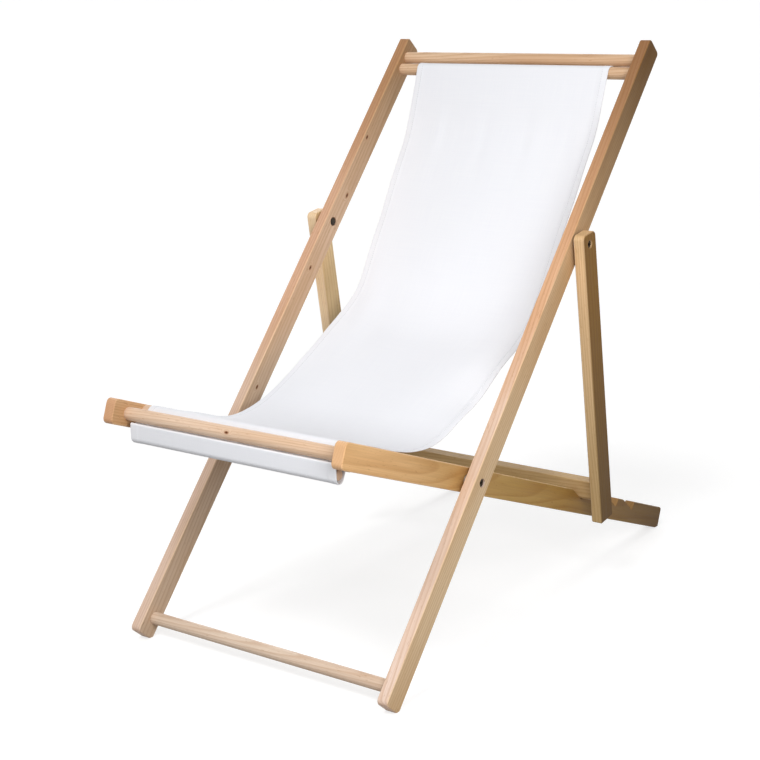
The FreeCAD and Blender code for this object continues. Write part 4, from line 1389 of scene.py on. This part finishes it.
def show_directly(
    tree: bpy.types.NodeTree, hidden: bpy.types.Node, seen: bpy.types.Node, also: str, output: str
) -> None:
    """Let the camera's rays and those of one more kind meet one shader, and all others another.

    Args:
        tree: Node tree of the floor or of the world.
        hidden: Shader that lights the scene.
        seen: Shader that the camera sees.
        also: Light Path output of the other kind of ray.
        output: Type name of the tree's output node.
    """
    ray = add_node(tree, "LightPath")
    rays = {0: ray.outputs["Is Camera Ray"], 1: ray.outputs[also]}
    direct = add_node(tree, "Math", {"operation": "MAXIMUM"}, rays).outputs[0]
    both = add_node(tree, "MixShader", links={0: direct, 1: hidden.outputs[0], 2: seen.outputs[0]})
    add_node(tree, output, links={0: both.outputs[0]})


@dataclass
class Studio:
    """A plain white studio: a pale floor, an even sky, three far lamps and one near lamp.

    The near lamp stands to the right of the chair's front, so its light falls off to the rear.
    """

    floor_size: float = 600.0
    floor_paint: float = 0.40
    floor_glow: float = 0.70
    floor_bounce: float = 0.32
    sky: float = 0.24
    lamps: tuple[FarLamp | NearLamp, ...] = (
        FarLamp("key", 1.17, 18.0, (-0.04, -0.52, 0.85)),
        FarLamp("front", 0.60, 45.0, (-0.08, -0.95, 0.26)),
        FarLamp("rear", 2.20, 60.0, (-0.34, 0.90, 0.22)),
        NearLamp("side", 17.0, 0.9, (1.38, -1.08, 1.12), (0.15, -0.10, 0.35)),
    )

    def build(self) -> None:
        """Make the floor, the world and the lamps."""
        self.make_floor()
        self.make_world()
        for lamp in self.lamps:
            lamp.build()

    def make_floor(self) -> None:
        """Lay the floor, which the camera sees nearly white while it throws little light back up."""
        square = np.array([[-0.5, -0.5, 0.0], [0.5, -0.5, 0.0], [0.5, 0.5, 0.0], [-0.5, 0.5, 0.0]])
        floor = new_piece("floor", square * self.floor_size, [(0, 1, 2, 3)])
        material = bpy.data.materials.new("painted_floor")
        material.use_nodes = True
        tree = material.node_tree
        tree.nodes.clear()
        dark = add_node(tree, "BsdfDiffuse", {"Color": grey(self.floor_bounce)})
        paint = add_node(tree, "BsdfDiffuse", {"Color": grey(self.floor_paint)})
        glow = add_node(tree, "Emission", {"Color": grey(1.0), "Strength": self.floor_glow})
        seen = add_node(tree, "AddShader", links={0: paint.outputs[0], 1: glow.outputs[0]})
        show_directly(tree, dark, seen, "Is Glossy Ray", "OutputMaterial")
        floor.data.materials.append(material)

    def make_world(self) -> None:
        """Fill the room with even light, and show it white to the camera and through clear things."""
        world = bpy.data.worlds.new("studio")
        world.use_nodes = True
        tree = world.node_tree
        tree.nodes.clear()
        light = add_node(tree, "Background", {"Color": grey(1.0), "Strength": self.sky})
        white = add_node(tree, "Background", {"Color": grey(1.0), "Strength": 1.0})
        show_directly(tree, light, white, "Is Transmission Ray", "OutputWorld")
        bpy.context.scene.world = world


@dataclass
class Viewpoint:
    """The camera at the photograph's viewing angle."""

    place: Point = (1.538287, -2.193167, 1.099564)
    pitch: float = math.radians(16.44)
    yaw: float = math.radians(36.216)
    roll: float = math.radians(-1.656)
    lens: float = 73.925
    sensor: float = 36.0
    shift: tuple[float, float] = (-0.00263, 0.05737)

    def build(self) -> None:
        """Make the camera: its view runs down by the pitch and to the left by the yaw."""
        level_share = math.cos(self.pitch)
        ahead = Vector(
            (-math.sin(self.yaw) * level_share, math.cos(self.yaw) * level_share, -math.sin(self.pitch))
        )
        level = Vector((math.cos(self.yaw), math.sin(self.yaw), 0.0))
        upright = level.cross(ahead)
        right = level * math.cos(self.roll) + upright * math.sin(self.roll)
        up = upright * math.cos(self.roll) - level * math.sin(self.roll)
        data = bpy.data.cameras.new("camera")
        data.lens = self.lens
        data.sensor_width = self.sensor
        data.shift_x, data.shift_y = self.shift
        camera = new_object("camera", data)
        turn = Matrix((right, up, -ahead)).transposed().to_4x4()
        camera.matrix_world = Matrix.Translation(self.place) @ turn
        bpy.context.scene.camera = camera


def main() -> None:
    """Build the view, the studio and the chair, and report each piece."""
    logging.basicConfig(level=logging.INFO, format="%(name)s %(message)s")
    bpy.context.scene.view_settings.view_transform = "Standard"
    Viewpoint().build()
    Studio().build()
    WoodenFrames().dress()
    Hardware().dress()
    Sling().dress(CottonCanvas().build(), SewingThread().build())


if __name__ == "__main__":
    main()
